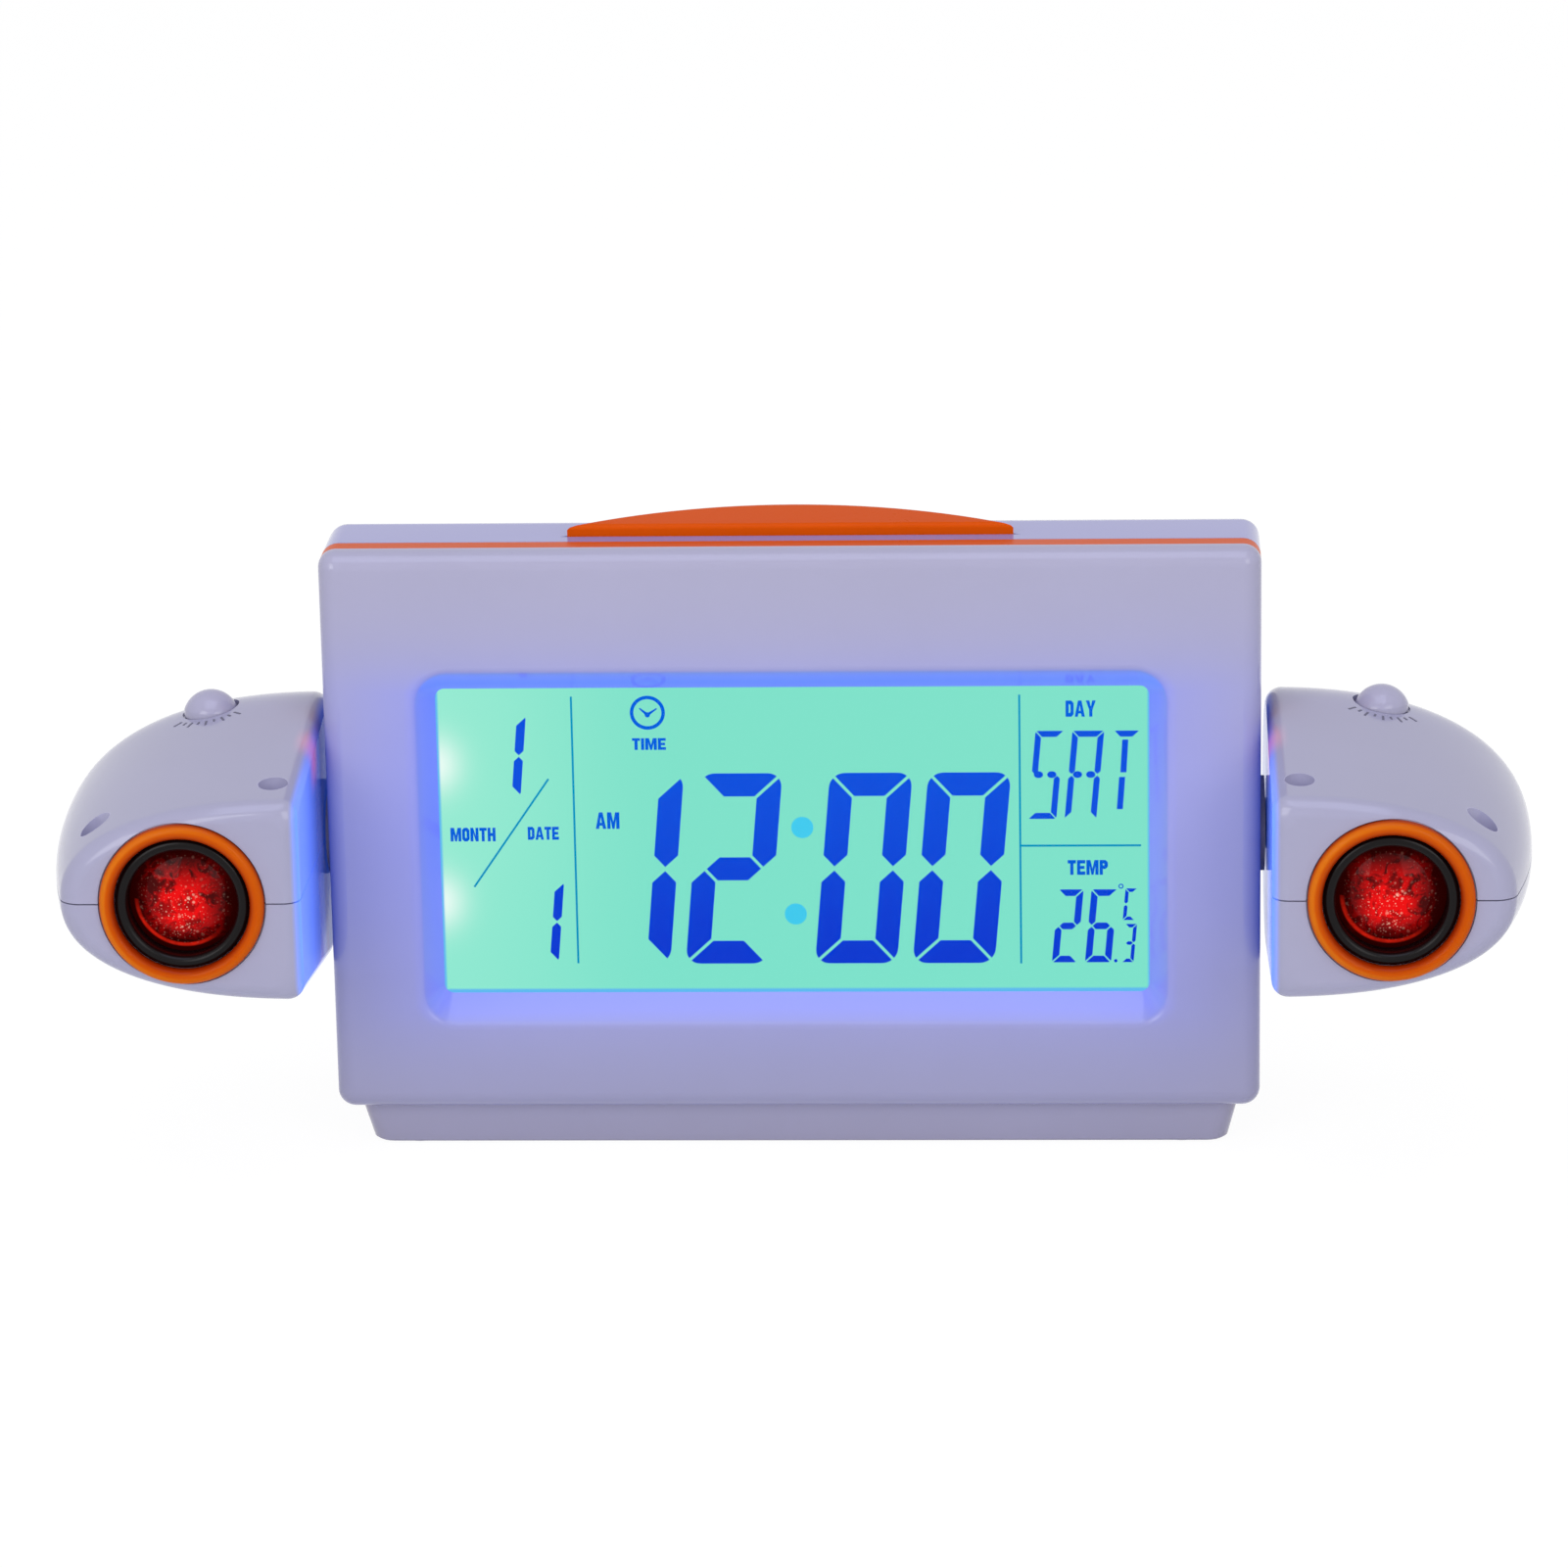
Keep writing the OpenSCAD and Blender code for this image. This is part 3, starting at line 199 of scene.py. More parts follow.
class Graph:
    """A node tree that is filled by calls."""

    def __init__(self, tree: NodeTree) -> None:
        """Empties the tree."""
        self.tree = tree
        tree.nodes.clear()

    def node(
        self,
        kind: str,
        settings: dict[str, object] | None = None,
        sockets: Sockets | None = None,
        out: str | int = 0,
    ) -> Value:
        """Adds one node.

        Args:
            kind: Type of the node.
            settings: Its own settings, which are set first.
            sockets: Values or links of its inputs.
            out: The output that is returned.

        Returns:
            The chosen output, or the first input of a node without outputs.
        """
        made = self.tree.nodes.new(kind)
        for key, setting in (settings or {}).items():
            setattr(made, key, setting)
        for key, given in (sockets or {}).items():
            if isinstance(given, Value):
                self.tree.links.new(given.socket, made.inputs[key])
            else:
                made.inputs[key].default_value = given
        return Value(self, made.outputs[out] if made.outputs else made.inputs[0])

    def math(self, operation: str, *values: "Value | float") -> Value:
        """Adds a Math node over values and numbers."""
        return self.node("ShaderNodeMath", {"operation": operation}, dict(enumerate(values)))

    def mix(self, share: "Value | float", first: object, second: object) -> Value:
        """Mixes two colours."""
        sockets = {0: share, 6: first, 7: second}
        return self.node("ShaderNodeMix", {"data_type": "RGBA"}, sockets, out=2)

    def glow(self, share: Value, colour: Colour) -> Value:
        """A colour that fades to black with a share."""
        return self.mix(share, BLACK, colour)

    def spot(self) -> Value:
        """Place on the surface in millimetres of the shared frame."""
        sockets = {"Vector": self.node("ShaderNodeTexCoord", out="Object"), "Scale": 1.0 / MM}
        return self.node("ShaderNodeVectorMath", {"operation": "SCALE"}, sockets)

    def axes(self, vector: Value) -> tuple[Value, Value, Value]:
        """The three numbers of a vector."""
        first = self.node("ShaderNodeSeparateXYZ", None, {0: vector})
        return first, first.output(1), first.output(2)

    def noise(self, vector: Value, scale: float, detail: float = 2.0) -> Value:
        """Soft noise from 0 to 1."""
        sockets = {"Vector": vector, "Scale": scale, "Detail": detail}
        return self.node("ShaderNodeTexNoise", None, sockets)

    def bump(self, height: Value, depth: float) -> Value:
        """A normal that follows a height, at a depth in millimetres."""
        sockets = {"Height": height, "Distance": depth * MM, "Strength": 1.0}
        return self.node("ShaderNodeBump", None, sockets)

    def surface(self, sockets: Sockets) -> None:
        """Ends a material in one surface shader."""
        shader = self.node("ShaderNodeBsdfPrincipled", None, sockets)
        self.node("ShaderNodeOutputMaterial", None, {"Surface": shader})

    def lit_surface(
        self, light: Value, roughness: Value | float, gloss: float = 0.0, colour: Colour = BLACK
    ) -> None:
        """Ends a material in a surface that gives light.

        Args:
            light: Colour of the light.
            roughness: How rough the surface is.
            gloss: Its specular level.
            colour: Its own colour.
        """
        self.surface(
            {
                "Base Color": colour,
                "Roughness": roughness,
                "Specular IOR Level": gloss,
                "Emission Color": light,
                "Emission Strength": 1.0,
            }
        )


@dataclass(frozen=True)
class Finish:
    """One surface finish, made into a material once."""

    name: str

    def material(self) -> Material:
        """The finish as a material, made at its first use.

        Returns:
            The material.
        """
        made = MATERIALS.get(self.name)
        if made is None:
            made = bpy.data.materials.new(self.name + "_finish")
            made.use_nodes = True
            self.paint(Graph(made.node_tree))
            MATERIALS[self.name] = made
        return made

    def paint(self, graph: Graph) -> None:
        """Fills the material's node tree."""
        raise NotImplementedError


@dataclass(frozen=True)
class Moulded(Finish):
    """Moulded plastic with slow drifts of tone and gloss and a fine grain."""

    colour: Colour
    roughness: float = 0.11
    grain: float = 0.002
    gloss: float = 0.42
    drift_scale: float = 0.045
    grain_scale: float = 1.6
    tones: Span = (0.965, 1.03)
    drift_sheen: float = 0.10
    grain_sheen: float = 0.05

    def paint(self, graph: Graph) -> None:
        """Fills the material's node tree.

        Args:
            graph: The material's node tree.
        """
        spot = graph.spot()
        slow = graph.noise(spot, self.drift_scale)
        fine = graph.noise(spot, self.grain_scale, detail=3.0)
        low, high = (shaded(self.colour, share) for share in self.tones)
        sheen = (slow - 0.5) * self.drift_sheen + (fine - 0.5) * self.grain_sheen
        sockets: Sockets = {
            "Roughness": self.roughness + sheen,
            "Specular IOR Level": self.gloss,
            "Normal": graph.bump(fine, self.grain),
        }
        sockets["Base Color"] = self.lit(graph, spot, graph.mix(slow, low, high), sockets)
        graph.surface(sockets)

    def lit(self, graph: Graph, spot: Value, tone: Value, sockets: Sockets) -> Value:
        """The plastic with light and shade painted into its colour, which leaves plain plastic as it is.

        Args:
            graph: The material's node tree.
            spot: Place on the surface in millimetres.
            tone: The plastic's own colour.
            sockets: The shader's sockets, which may get a painted glow.

        Returns:
            The colour with that painted light and shade.
        """
        return tone


@dataclass(frozen=True)
class TopPlastic(Moulded):
    """Plastic of the rear shell, with painted blue light along its top."""

    blue: Colour = tint(150, 150, 206)
    heights: Span = (84.0, 97.0)

    def lit(self, graph: Graph, spot: Value, tone: Value, sockets: Sockets) -> Value:
        """The plastic with painted blue light along its top, from what Moulded.lit takes."""
        _, _, z = graph.axes(spot)
        # painted light: the top is mixed towards blue between these heights
        return graph.mix(z.rise(*self.heights), tone, self.blue)


@dataclass(frozen=True)
class PanelPlastic(Moulded):
    """Plastic of the front panel, with the display's blue light painted on it and painted shade towards
    its foot.
    """

    near: Span = (0.6, 4.8)
    near_level: float = 0.45
    sunk: Span = (0.1, 1.0)
    recess: Span = (5.5, 7.5)
    recess_level: float = 0.20
    ceiling: Span = (0.0, 1.5)
    ceiling_level: float = 0.35
    fade: float = -0.1
    fade_side: float = 0.3
    fade_over: float = 3.6
    shares: Span = (0.60, 0.33)
    lean: Span = (1.2, 0.8)
    lean_ends: Span = (-0.6, 0.6)
    foot: Span = (-45.0, 20.0)
    foot_level: float = 0.19
    shade: Colour = (0.0, 0.0, 0.02, 1.0)
    low_blue: Colour = (0.25, 0.25, 0.60, 1.0)
    high_blue: Colour = (0.03, 0.085, 0.78, 1.0)
    glow: Colour = (0.035, 0.085, 0.60, 1.0)
    cover: float = 0.8

    def lit(self, graph: Graph, spot: Value, tone: Value, sockets: Sockets) -> Value:
        """The plastic with painted blue light on the slopes and the panel round the display, and painted
        shade towards its foot.

        Args:
            graph: The material's node tree.
            spot: Place on the surface in millimetres.
            tone: The plastic's own colour.
            sockets: The shader's sockets, which get the painted glow.

        Returns:
            The colour with that painted light and shade.
        """
        x, y, z = graph.axes(spot)
        view = Display()
        up = z - view.centre
        sunk = (y - FRONT_Y / MM).rise(*self.sunk)
        out_x = (abs(x) - view.width / 2).above(0.0)
        over = (up - view.height / 2).above(0.0)
        under = (-up - view.height / 2).above(0.0)
        away = (out_x * out_x + over * over + under * under) ** 0.5
        # painted light: the display's blue glow, strongest next to its opening and on the recess slopes,
        # fading over the panel
        near = (1.0 - away.rise(*self.near)) * self.near_level
        slopes = over.rise(*self.ceiling) * self.ceiling_level + self.recess_level
        near = near + sunk * (1.0 - away.rise(*self.recess)) * slopes
        far = (out_x * out_x * self.fade_side + over * over * self.fade_over + under * under) ** 0.5
        share = near * self.shares[0] + math.e ** (far * self.fade) * self.shares[1]
        # painted shade and light by side: the top and left get the deeper blue, the bottom and right the
        # paler one
        leaning = up / view.height * self.lean[0] - x / view.width * self.lean[1]
        deep = graph.mix(leaning.rise(*self.lean_ends), self.low_blue, self.high_blue)
        # painted shade: the base colour is darker towards the panel's foot
        tone = graph.mix((1.0 - up.rise(*self.foot)) * self.foot_level, tone, self.shade)
        # painted glow: the blue light is given off as emission and mixed into the base colour
        sockets["Emission Color"] = graph.glow(share, self.glow)
        sockets["Emission Strength"] = 1.0
        return graph.mix(share * self.cover, tone, deep)


@dataclass(frozen=True)
class PodPlastic(Moulded):
    """Plastic of a projector pod, with painted light: blue on its inner face, red by its hinge, pale in
    its screw holes.
    """

    inner: Span = (0.1, 1.4)
    ahead: Span = (-30.0, -2.0)
    ahead_level: float = 0.8
    blue: Colour = (0.03, 0.11, 0.72, 1.0)
    red: Colour = (0.55, 0.05, 0.03, 1.0)
    red_y: float = -11.0
    red_along: Span = (0.0, 6.0)
    red_across: Span = (0.3, 3.4)
    red_up: Span = (10.0, 16.0)
    red_level: float = 0.5
    pale: Colour = (0.045, 0.043, 0.07, 1.0)
    pale_edge: Span = (0.02, 0.2)
    pale_up: Span = (0.0, 1.0)
    back: Colour = (0.03, 0.07, 0.5, 1.0)
    front: Colour = (0.19, 0.33, 0.80, 1.0)
    cover: float = 0.7

    def lit(self, graph: Graph, spot: Value, tone: Value, sockets: Sockets) -> Value:
        """The plastic with painted light on its inner face, by its hinge and in its screw holes.

        Args:
            graph: The material's node tree.
            spot: Place on the surface in millimetres.
            tone: The plastic's own colour.
            sockets: The shader's sockets, which get the painted glow.

        Returns:
            The colour with that painted light.
        """
        x, y, z = graph.axes(spot)
        pod = Pod()
        off, up = abs(x) - pod.inner, z - pod.pivot_z
        # painted light: the display's blue glow on the inner face, stronger towards the front
        inner = 1.0 - off.rise(*self.inner)
        ahead = 1.0 - y.rise(*self.ahead)
        glow = graph.glow(inner * (ahead * self.ahead_level + (1.0 - self.ahead_level)), self.blue)
        # painted glow: red light by the hinge
        leak = (1.0 - abs(y - self.red_y).rise(*self.red_along)) * (1.0 - off.rise(*self.red_across))
        glow = graph.mix(leak * up.rise(*self.red_up) * self.red_level, glow, self.red)
        # painted light: a pale glow in each screw hole that lifts its shade
        for hole_x, hole_y in pod.holes:
            across = off - hole_x
            along = y - (FRONT_Y / MM + pod.pivot_y + hole_y)
            away = (across * across + along * along) ** 0.5
            well = (1.0 - (away - pod.hole_r).rise(*self.pale_edge)) * up.rise(*self.pale_up)
            glow = graph.mix(well, glow, self.pale)
        sockets["Emission Color"] = glow
        sockets["Emission Strength"] = 1.0
        # painted light in the base colour: the inner face is mixed to blue, paler towards the front
        return graph.mix(inner * self.cover, tone, graph.mix(ahead, self.back, self.front))


@dataclass(frozen=True)
class Plain(Finish):
    """A surface with grain and drifts of tone, for the pieces in and behind the case."""

    colour: Colour
    roughness: float = 0.5
    metallic: float = 0.0
    grain_scale: float = 1.2
    grain: float = 0.01
    drift: float = 0.12
    drift_scale: float = 0.15
    sheen: float = 0.2

    def paint(self, graph: Graph) -> None:
        """Fills the material's node tree.

        Args:
            graph: The material's node tree.
        """
        spot = graph.spot()
        fine = graph.noise(spot, self.grain_scale, detail=4.0)
        slow = graph.noise(spot, self.drift_scale)
        low, high = (shaded(self.colour, 1.0 + part) for part in (-self.drift, self.drift))
        graph.surface(
            {
                "Base Color": graph.mix(slow * 0.5 + fine * 0.5, low, high),
                "Roughness": self.roughness + (fine - 0.5) * self.sheen,
                "Metallic": self.metallic,
                "Normal": graph.bump(fine, self.grain),
            }
        )


@dataclass(frozen=True)
class Clear(Finish):
    """Clear moulded plastic."""

    haze: float = 0.02
    haze_scale: float = 0.4
    ior: float = 1.12

    def paint(self, graph: Graph) -> None:
        """Fills the material's node tree.

        Args:
            graph: The material's node tree.
        """
        fine = graph.noise(graph.spot(), self.haze_scale)
        graph.surface(
            {
                "Base Color": WHITE,
                "Roughness": fine * self.haze,
                "IOR": self.ior,
                "Transmission Weight": 1.0,
            }
        )


@dataclass(frozen=True)
class LitPanel(Finish):
    """The lit display: teal light, paler beside its lamps, with a bright line at its edges."""

    teal: Colour = tint(127, 226, 202)
    pale: Colour = tint(150, 235, 210)
    pale_x: Span = (-58.0, -18.0)
    low: Colour = tint(118, 226, 205)
    low_z: Span = (-25.0, 10.0)
    low_level: float = 0.25
    line: Colour = tint(95, 185, 240)
    line_width: float = 0.45
    lamp: Colour = (0.9, 1.0, 0.95, 1.0)
    lamp_x: float = -56.4
    lamps_z: Span = (62.9, 40.4)
    lamp_spread: Span = (16.0, 20.0)
    lamp_level: float = 0.9
    roughness: float = 0.4

    def paint(self, graph: Graph) -> None:
        """Fills the material's node tree.

        Args:
            graph: The material's node tree.
        """
        view = Display()
        x, _, z = graph.axes(graph.spot())
        up = z - view.centre
        colour = graph.mix(1.0 - x.rise(*self.pale_x), self.teal, self.pale)
        colour = graph.mix((1.0 - up.rise(*self.low_z)) * self.low_level, colour, self.low)
        for lamp_z in self.lamps_z:
            side, high = x - self.lamp_x, z - lamp_z
            away = side * side / self.lamp_spread[0] + high * high / self.lamp_spread[1]
            colour = graph.mix(math.e ** (-away) * self.lamp_level, colour, self.lamp)
        edge = (view.height / 2 - abs(up)).below(view.width / 2 - abs(x))
        colour = graph.mix(1.0 - edge.rise(0.0, self.line_width), colour, self.line)
        graph.lit_surface(colour, self.roughness)


@dataclass(frozen=True)
class Ink(Finish):
    """A dark mark of the display, in the blue light that comes through it."""

    low: Colour
    high: Colour
    heights: Span = (-22.0, 12.0)
    drift: float = 0.2
    drift_scale: float = 0.25
    roughness: float = 0.5

    def paint(self, graph: Graph) -> None:
        """Fills the material's node tree.

        Args:
            graph: The material's node tree.
        """
        spot = graph.spot()
        _, _, z = graph.axes(spot)
        rising = (z - Display().centre).rise(*self.heights)
        share = rising * (1.0 - self.drift) + graph.noise(spot, self.drift_scale) * self.drift
        graph.lit_surface(graph.mix(share, self.low, self.high), self.roughness)


@dataclass(frozen=True)
class LitLens(Finish):
    """The red projector lens: a lit patch with sparkles, dark towards its rim."""

    dark: Colour = (0.012, 0.0, 0.0, 1.0)
    red: Colour = tint(236, 8, 10)
    rim: Colour = tint(255, 40, 20)
    spark: Colour = tint(255, 200, 176)
    glass: Colour = (0.02, 0.001, 0.001, 1.0)
    roughness: float = 0.05
    sheen: float = 0.05
    gloss: float = 0.05
    apart: float = 0.05
    patch: Span = (2.2, 7.2)
    patch_stray: float = 7.0
    mottle: Span = (0.36, 0.58)
    mottle_level: float = 0.82
    heart: Span = (0.5, 5.4)
    heart_at: Point = (-0.6, -1.4)
    heart_level: float = 0.45
    least: float = 0.05
    spark_layers: tuple[Span, ...] = ((0.95, 0.9), (1.9, 0.8))
    spark_levels: Span = (0.9, 0.06)
    spark_edge: Span = (6.6, 7.8)
    spark_sizes: Span = (0.26, 0.1)
    spark_soft: Span = (0.35, 1.0)
    spark_chance: Span = (0.3, 0.6)
    rim_r: float = 7.35
    rim_soft: Span = (0.1, 0.5)
    rim_turn: float = -2.0
    rim_ends: Span = (0.5, 1.4)
    rim_level: float = 0.9

    def paint(self, graph: Graph) -> None:
        """Fills the material's node tree.

        Args:
            graph: The material's node tree.
        """
        spot = graph.spot()
        x, _, _ = graph.axes(spot)
        side, up, radius = Pod().lens_place(graph, spot)
        flat = graph.node("ShaderNodeCombineXYZ", None, {0: side, 1: up, 2: x * self.apart})
        streaks = {"Vector": flat, "Scale": 0.5, "Detail": 3.5, "Roughness": 0.55, "Distortion": 0.7}
        mottled = graph.node("ShaderNodeTexNoise", None, streaks)
        square = ((side * side) ** 2.0 + (up * up) ** 2.0) ** 0.25
        patch = 1.0 - (square + (mottled - 0.5) * self.patch_stray).rise(*self.patch)
        heart_x, heart_z = side - self.heart_at[0], up - self.heart_at[1]
        heart = 1.0 - ((heart_x ** 2.0 + heart_z ** 2.0) ** 0.5).rise(*self.heart)
        level = mottled.rise(*self.mottle) * self.mottle_level + heart * self.heart_level + self.least
        coarse, fine = (self.sparks(graph, flat, scale) * share for scale, share in self.spark_layers)
        sparks = (coarse + fine) * (heart * self.spark_levels[0] + self.spark_levels[1])
        sparks = sparks * (1.0 - radius.rise(*self.spark_edge))
        low_left = 1.0 - abs(graph.math("ARCTAN2", up, side) - self.rim_turn).rise(*self.rim_ends)
        rim = (1.0 - abs(radius - self.rim_r).rise(*self.rim_soft)) * low_left * mottled
        light = graph.mix((patch * level).below(1.0), self.dark, self.red)
        light = graph.mix((rim * self.rim_level).below(1.0), light, self.rim)
        light = graph.mix(sparks.below(1.0), light, self.spark)
        graph.lit_surface(light, self.roughness + mottled * self.sheen, self.gloss, self.glass)

    def sparks(self, graph: Graph, flat: Value, scale: float) -> Value:
        """Scattered bright specks.

        Args:
            graph: The material's node tree.
            flat: Place across and up the lens in millimetres.
            scale: Specks to the millimetre.

        Returns:
            The specks' level from 0 to 1.
        """
        cells = {"Vector": flat, "Scale": scale}
        cell = graph.node("ShaderNodeTexVoronoi", {"voronoi_dimensions": "2D"}, cells)
        chance, _, size = graph.axes(cell.output("Color"))
        reach = size * size * self.spark_sizes[0] + self.spark_sizes[1]
        return (1.0 - (cell / reach).rise(*self.spark_soft)) * chance.rise(*self.spark_chance)


@dataclass(frozen=True)
class Amber(Finish):
    """Clear orange plastic of the lens ring, darker towards the lens, with a painted highlight along its
    crown and a painted shadow line at its outer edge.
    """

    deep: Colour = tint(160, 42, 0)
    orange: Colour = tint(204, 82, 0)
    pale: Colour = tint(230, 128, 22)
    inside: Span = (0.0, 0.45)
    crown_at: float = 0.72
    crown_soft: Span = (0.05, 0.3)
    crown_left: Span = (0.7, 0.1)
    crown_drift: Span = (0.5, 0.6)
    outside: Span = (0.9, 1.0)
    outside_level: float = 0.6
    drift_scale: float = 0.3
    roughness: float = 0.1
    sheen: float = 0.08
    gloss: float = 0.06

    def paint(self, graph: Graph) -> None:
        """Fills the material's node tree.

        Args:
            graph: The material's node tree.
        """
        pod = Pod()
        spot = graph.spot()
        side, _, radius = pod.lens_place(graph, spot)
        across = (radius - pod.port) / pod.ring_w
        left = (-side / radius) * 0.5 + 0.5
        drift = graph.noise(spot, self.drift_scale)
        colour = graph.mix(across.rise(*self.inside), self.deep, self.orange)
        # painted highlight: a pale band along the ring's crown, stronger on the left
        crown = 1.0 - abs(across - self.crown_at).rise(*self.crown_soft)
        crown = crown * (left * self.crown_left[0] + self.crown_left[1])
        crown = crown * (drift * self.crown_drift[0] + self.crown_drift[1])
        colour = graph.mix(crown, colour, self.pale)
        # painted shadow: a dark line along the ring's outer edge
        colour = graph.mix(across.rise(*self.outside) * self.outside_level, colour, self.deep)
        graph.surface(
            {
                "Base Color": colour,
                "Roughness": self.roughness + drift * self.sheen,
                "Specular IOR Level": self.gloss,
            }
        )


SHELL = tint(175, 172, 197)
ORANGE = tint(222, 84, 2)
SHELL_PLASTIC = Moulded("shell_plastic", SHELL)
PANEL_PLASTIC = PanelPlastic("panel_plastic", SHELL)
POD_PLASTIC = PodPlastic("pod_plastic", tint(169, 167, 193))
TRIM_PLASTIC = Moulded("trim_plastic", ORANGE, roughness=0.3, gloss=0.05)
RING_PLASTIC = Amber("ring_plastic")
REAR_PLASTIC = TopPlastic("rear_plastic", SHELL)
BASE_PLASTIC = Moulded("base_plastic", tint(164, 161, 188))
BLACK_PLASTIC = Moulded("black_plastic", tint(12, 8, 9), roughness=0.24, gloss=0.16)
LIT_PANEL = LitPanel("lit_panel")
DARK_INK = Ink("dark_ink", tint(2, 50, 208), tint(4, 80, 224))
WORD_INK = Ink("word_ink", tint(0, 84, 205), tint(0, 96, 225))
LINE_INK = Ink("line_ink", tint(0, 140, 190), tint(0, 150, 195))
DOT_INK = Ink("dot_ink", tint(62, 200, 236), tint(66, 204, 240))
LABEL_INK = Plain("label_ink", tint(100, 98, 118), 0.5)
LIT_LENS = LitLens("lit_lens")
SLOTS: dict[str, Finish] = {
    "shell_plastic": SHELL_PLASTIC,
    "trim_plastic": TRIM_PLASTIC,
    "black_plastic": BLACK_PLASTIC,
    "clear_plastic": Clear("clear_plastic"),
    "display_glass": LIT_PANEL,
    "white_plastic": Moulded("white_plastic", tint(226, 226, 230), roughness=0.4),
    "led_resin": Plain("led_resin", tint(214, 40, 30), 0.2, drift=0.05),
    "lens_plastic": LIT_LENS,
    "board": Plain("board", tint(36, 96, 60), 0.45),
    "rubber": Plain("rubber", tint(172, 170, 190), 0.7, grain=0.03),
    "steel": Plain("steel", tint(196, 198, 204), 0.3, 1.0, 3.0, 0.003, 0.06),
    "cell_jacket": Plain("cell_jacket", tint(70, 74, 84), 0.35, drift=0.2),
}


class Shape:
    """A mesh in the making, in millimetres with the clock's front plane at Y = 0."""

    def __init__(self, bm: BMesh | None = None) -> None:
        """Starts from a mesh, or empty."""
        self.bm = bmesh.new() if bm is None else bm

    def copy(self) -> "Shape":
        """A second shape like this one."""
        return Shape(self.bm.copy())

    def outline(self, size: Point, radius: float, place: Matrix, steps: int = 8) -> list[BMEdge]:
        """Adds a rounded rectangle without a face.

        Args:
            size: Its width and height.
            radius: Radius of its corners.
            place: Where it goes; it is made flat on the ground.
            steps: Steps of each corner.

        Returns:
            The edges of the outline.
        """
        old = set(self.bm.edges)
        flat = place @ Matrix.Diagonal((size[0], size[1], 1.0, 1.0))
        grid = bmesh.ops.create_grid(self.bm, x_segments=1, y_segments=1, size=0.5, matrix=flat)
        bmesh.ops.bevel(
            self.bm, geom=grid["verts"], offset=radius, offset_type="ABSOLUTE", affect="VERTICES",
            segments=steps, profile=0.5, material=-1,
        )
        made = [edge for edge in self.bm.edges if edge not in old]
        faces = {face for edge in made for face in edge.link_faces}
        bmesh.ops.delete(self.bm, geom=list(faces), context="FACES_ONLY")
        return made

    def ring(self, points: Sequence[Vector]) -> list[BMEdge]:
        """Adds a closed ring of edges through points.

        Args:
            points: The points in their order.

        Returns:
            The edges of the ring.
        """
        made = bmesh.ops.create_circle(self.bm, segments=len(points), radius=1.0)
        for vert, point in zip(made["verts"], points):
            vert.co = point
        return list({edge for vert in made["verts"] for edge in vert.link_edges})

    def bridge(self, loops: Sequence[list[BMEdge]], closed: bool = False) -> None:
        """Joins each loop to the next.

        Args:
            loops: The loops in their order.
            closed: Whether the last is joined to the first as well.
        """
        pairs = list(zip(loops, loops[1:]))
        if closed:
            pairs.append((loops[-1], loops[0]))
        for first, second in pairs:
            bmesh.ops.bridge_loops(self.bm, edges=first + second)

    def cap(self, loop: list[BMEdge]) -> None:
        """Closes a loop with a face."""
        bmesh.ops.edgeloop_fill(self.bm, edges=loop)

    def turned(self, profile: Sequence[Point], place: Matrix, steps: int = 96) -> None:
        """Spins a closed or axis-to-axis profile round the upright axis of a place.

        Args:
            profile: Radius and height of each point.
            place: Where the axis stands.
            steps: Steps of the full turn.
        """
        verts = [self.bm.verts.new((radius, 0.0, height)) for radius, height in profile]
        edges = [self.bm.edges.new(pair) for pair in zip(verts, verts[1:])]
        spun = bmesh.ops.spin(
            self.bm, geom=verts + edges, cent=(0.0, 0.0, 0.0), axis=(0.0, 0.0, 1.0),
            angle=math.tau, steps=steps, use_merge=True,
        )
        made = {v for v in verts if v.is_valid}
        made |= {v for v in spun["geom_last"] if isinstance(v, BMVert) and v.is_valid}
        island = self.linked(made)
        bmesh.ops.transform(self.bm, matrix=place, verts=island)
        bmesh.ops.remove_doubles(self.bm, verts=island, dist=MERGE)

    def linked(self, seeds: set[BMVert]) -> list[BMVert]:
        """All vertices that hang together with some.

        Args:
            seeds: The vertices to start from.

        Returns:
            Those and all that edges lead to from them.
        """
        found, waiting = set(seeds), list(seeds)
        while waiting:
            for edge in waiting.pop().link_edges:
                for vert in edge.verts:
                    if vert not in found:
                        found.add(vert)
                        waiting.append(vert)
        return list(found)

    def plate(self, points: Sequence[Point], front: float, back: float, gap: float = 0.0) -> None:
        """Adds an upright plate with a polygon outline.

        Args:
            points: The outline's points across and up.
            front: Y of its front.
            back: Y of its back.
            gap: How far the outline is drawn in.
        """
        verts = [self.bm.verts.new((x, front, z)) for x, z in points]
        face = self.bm.faces.new(verts)
        face.normal_update()
        if gap:
            rim = bmesh.ops.inset_individual(
                self.bm, faces=[face], thickness=gap, use_even_offset=True)
            bmesh.ops.delete(self.bm, geom=rim["faces"], context="FACES")
        self.thicken(face, (0.0, back - front, 0.0))

    def thicken(self, face: BMFace, move: Triple) -> None:
        """Draws a face out into a plate.

        Args:
            face: The face, which stays.
            move: How far and which way the other side goes.
        """
        pushed = bmesh.ops.extrude_face_region(self.bm, geom=[face], use_keep_orig=True)
        moved = [item for item in pushed["geom"] if isinstance(item, BMVert)]
        bmesh.ops.translate(self.bm, vec=move, verts=moved)

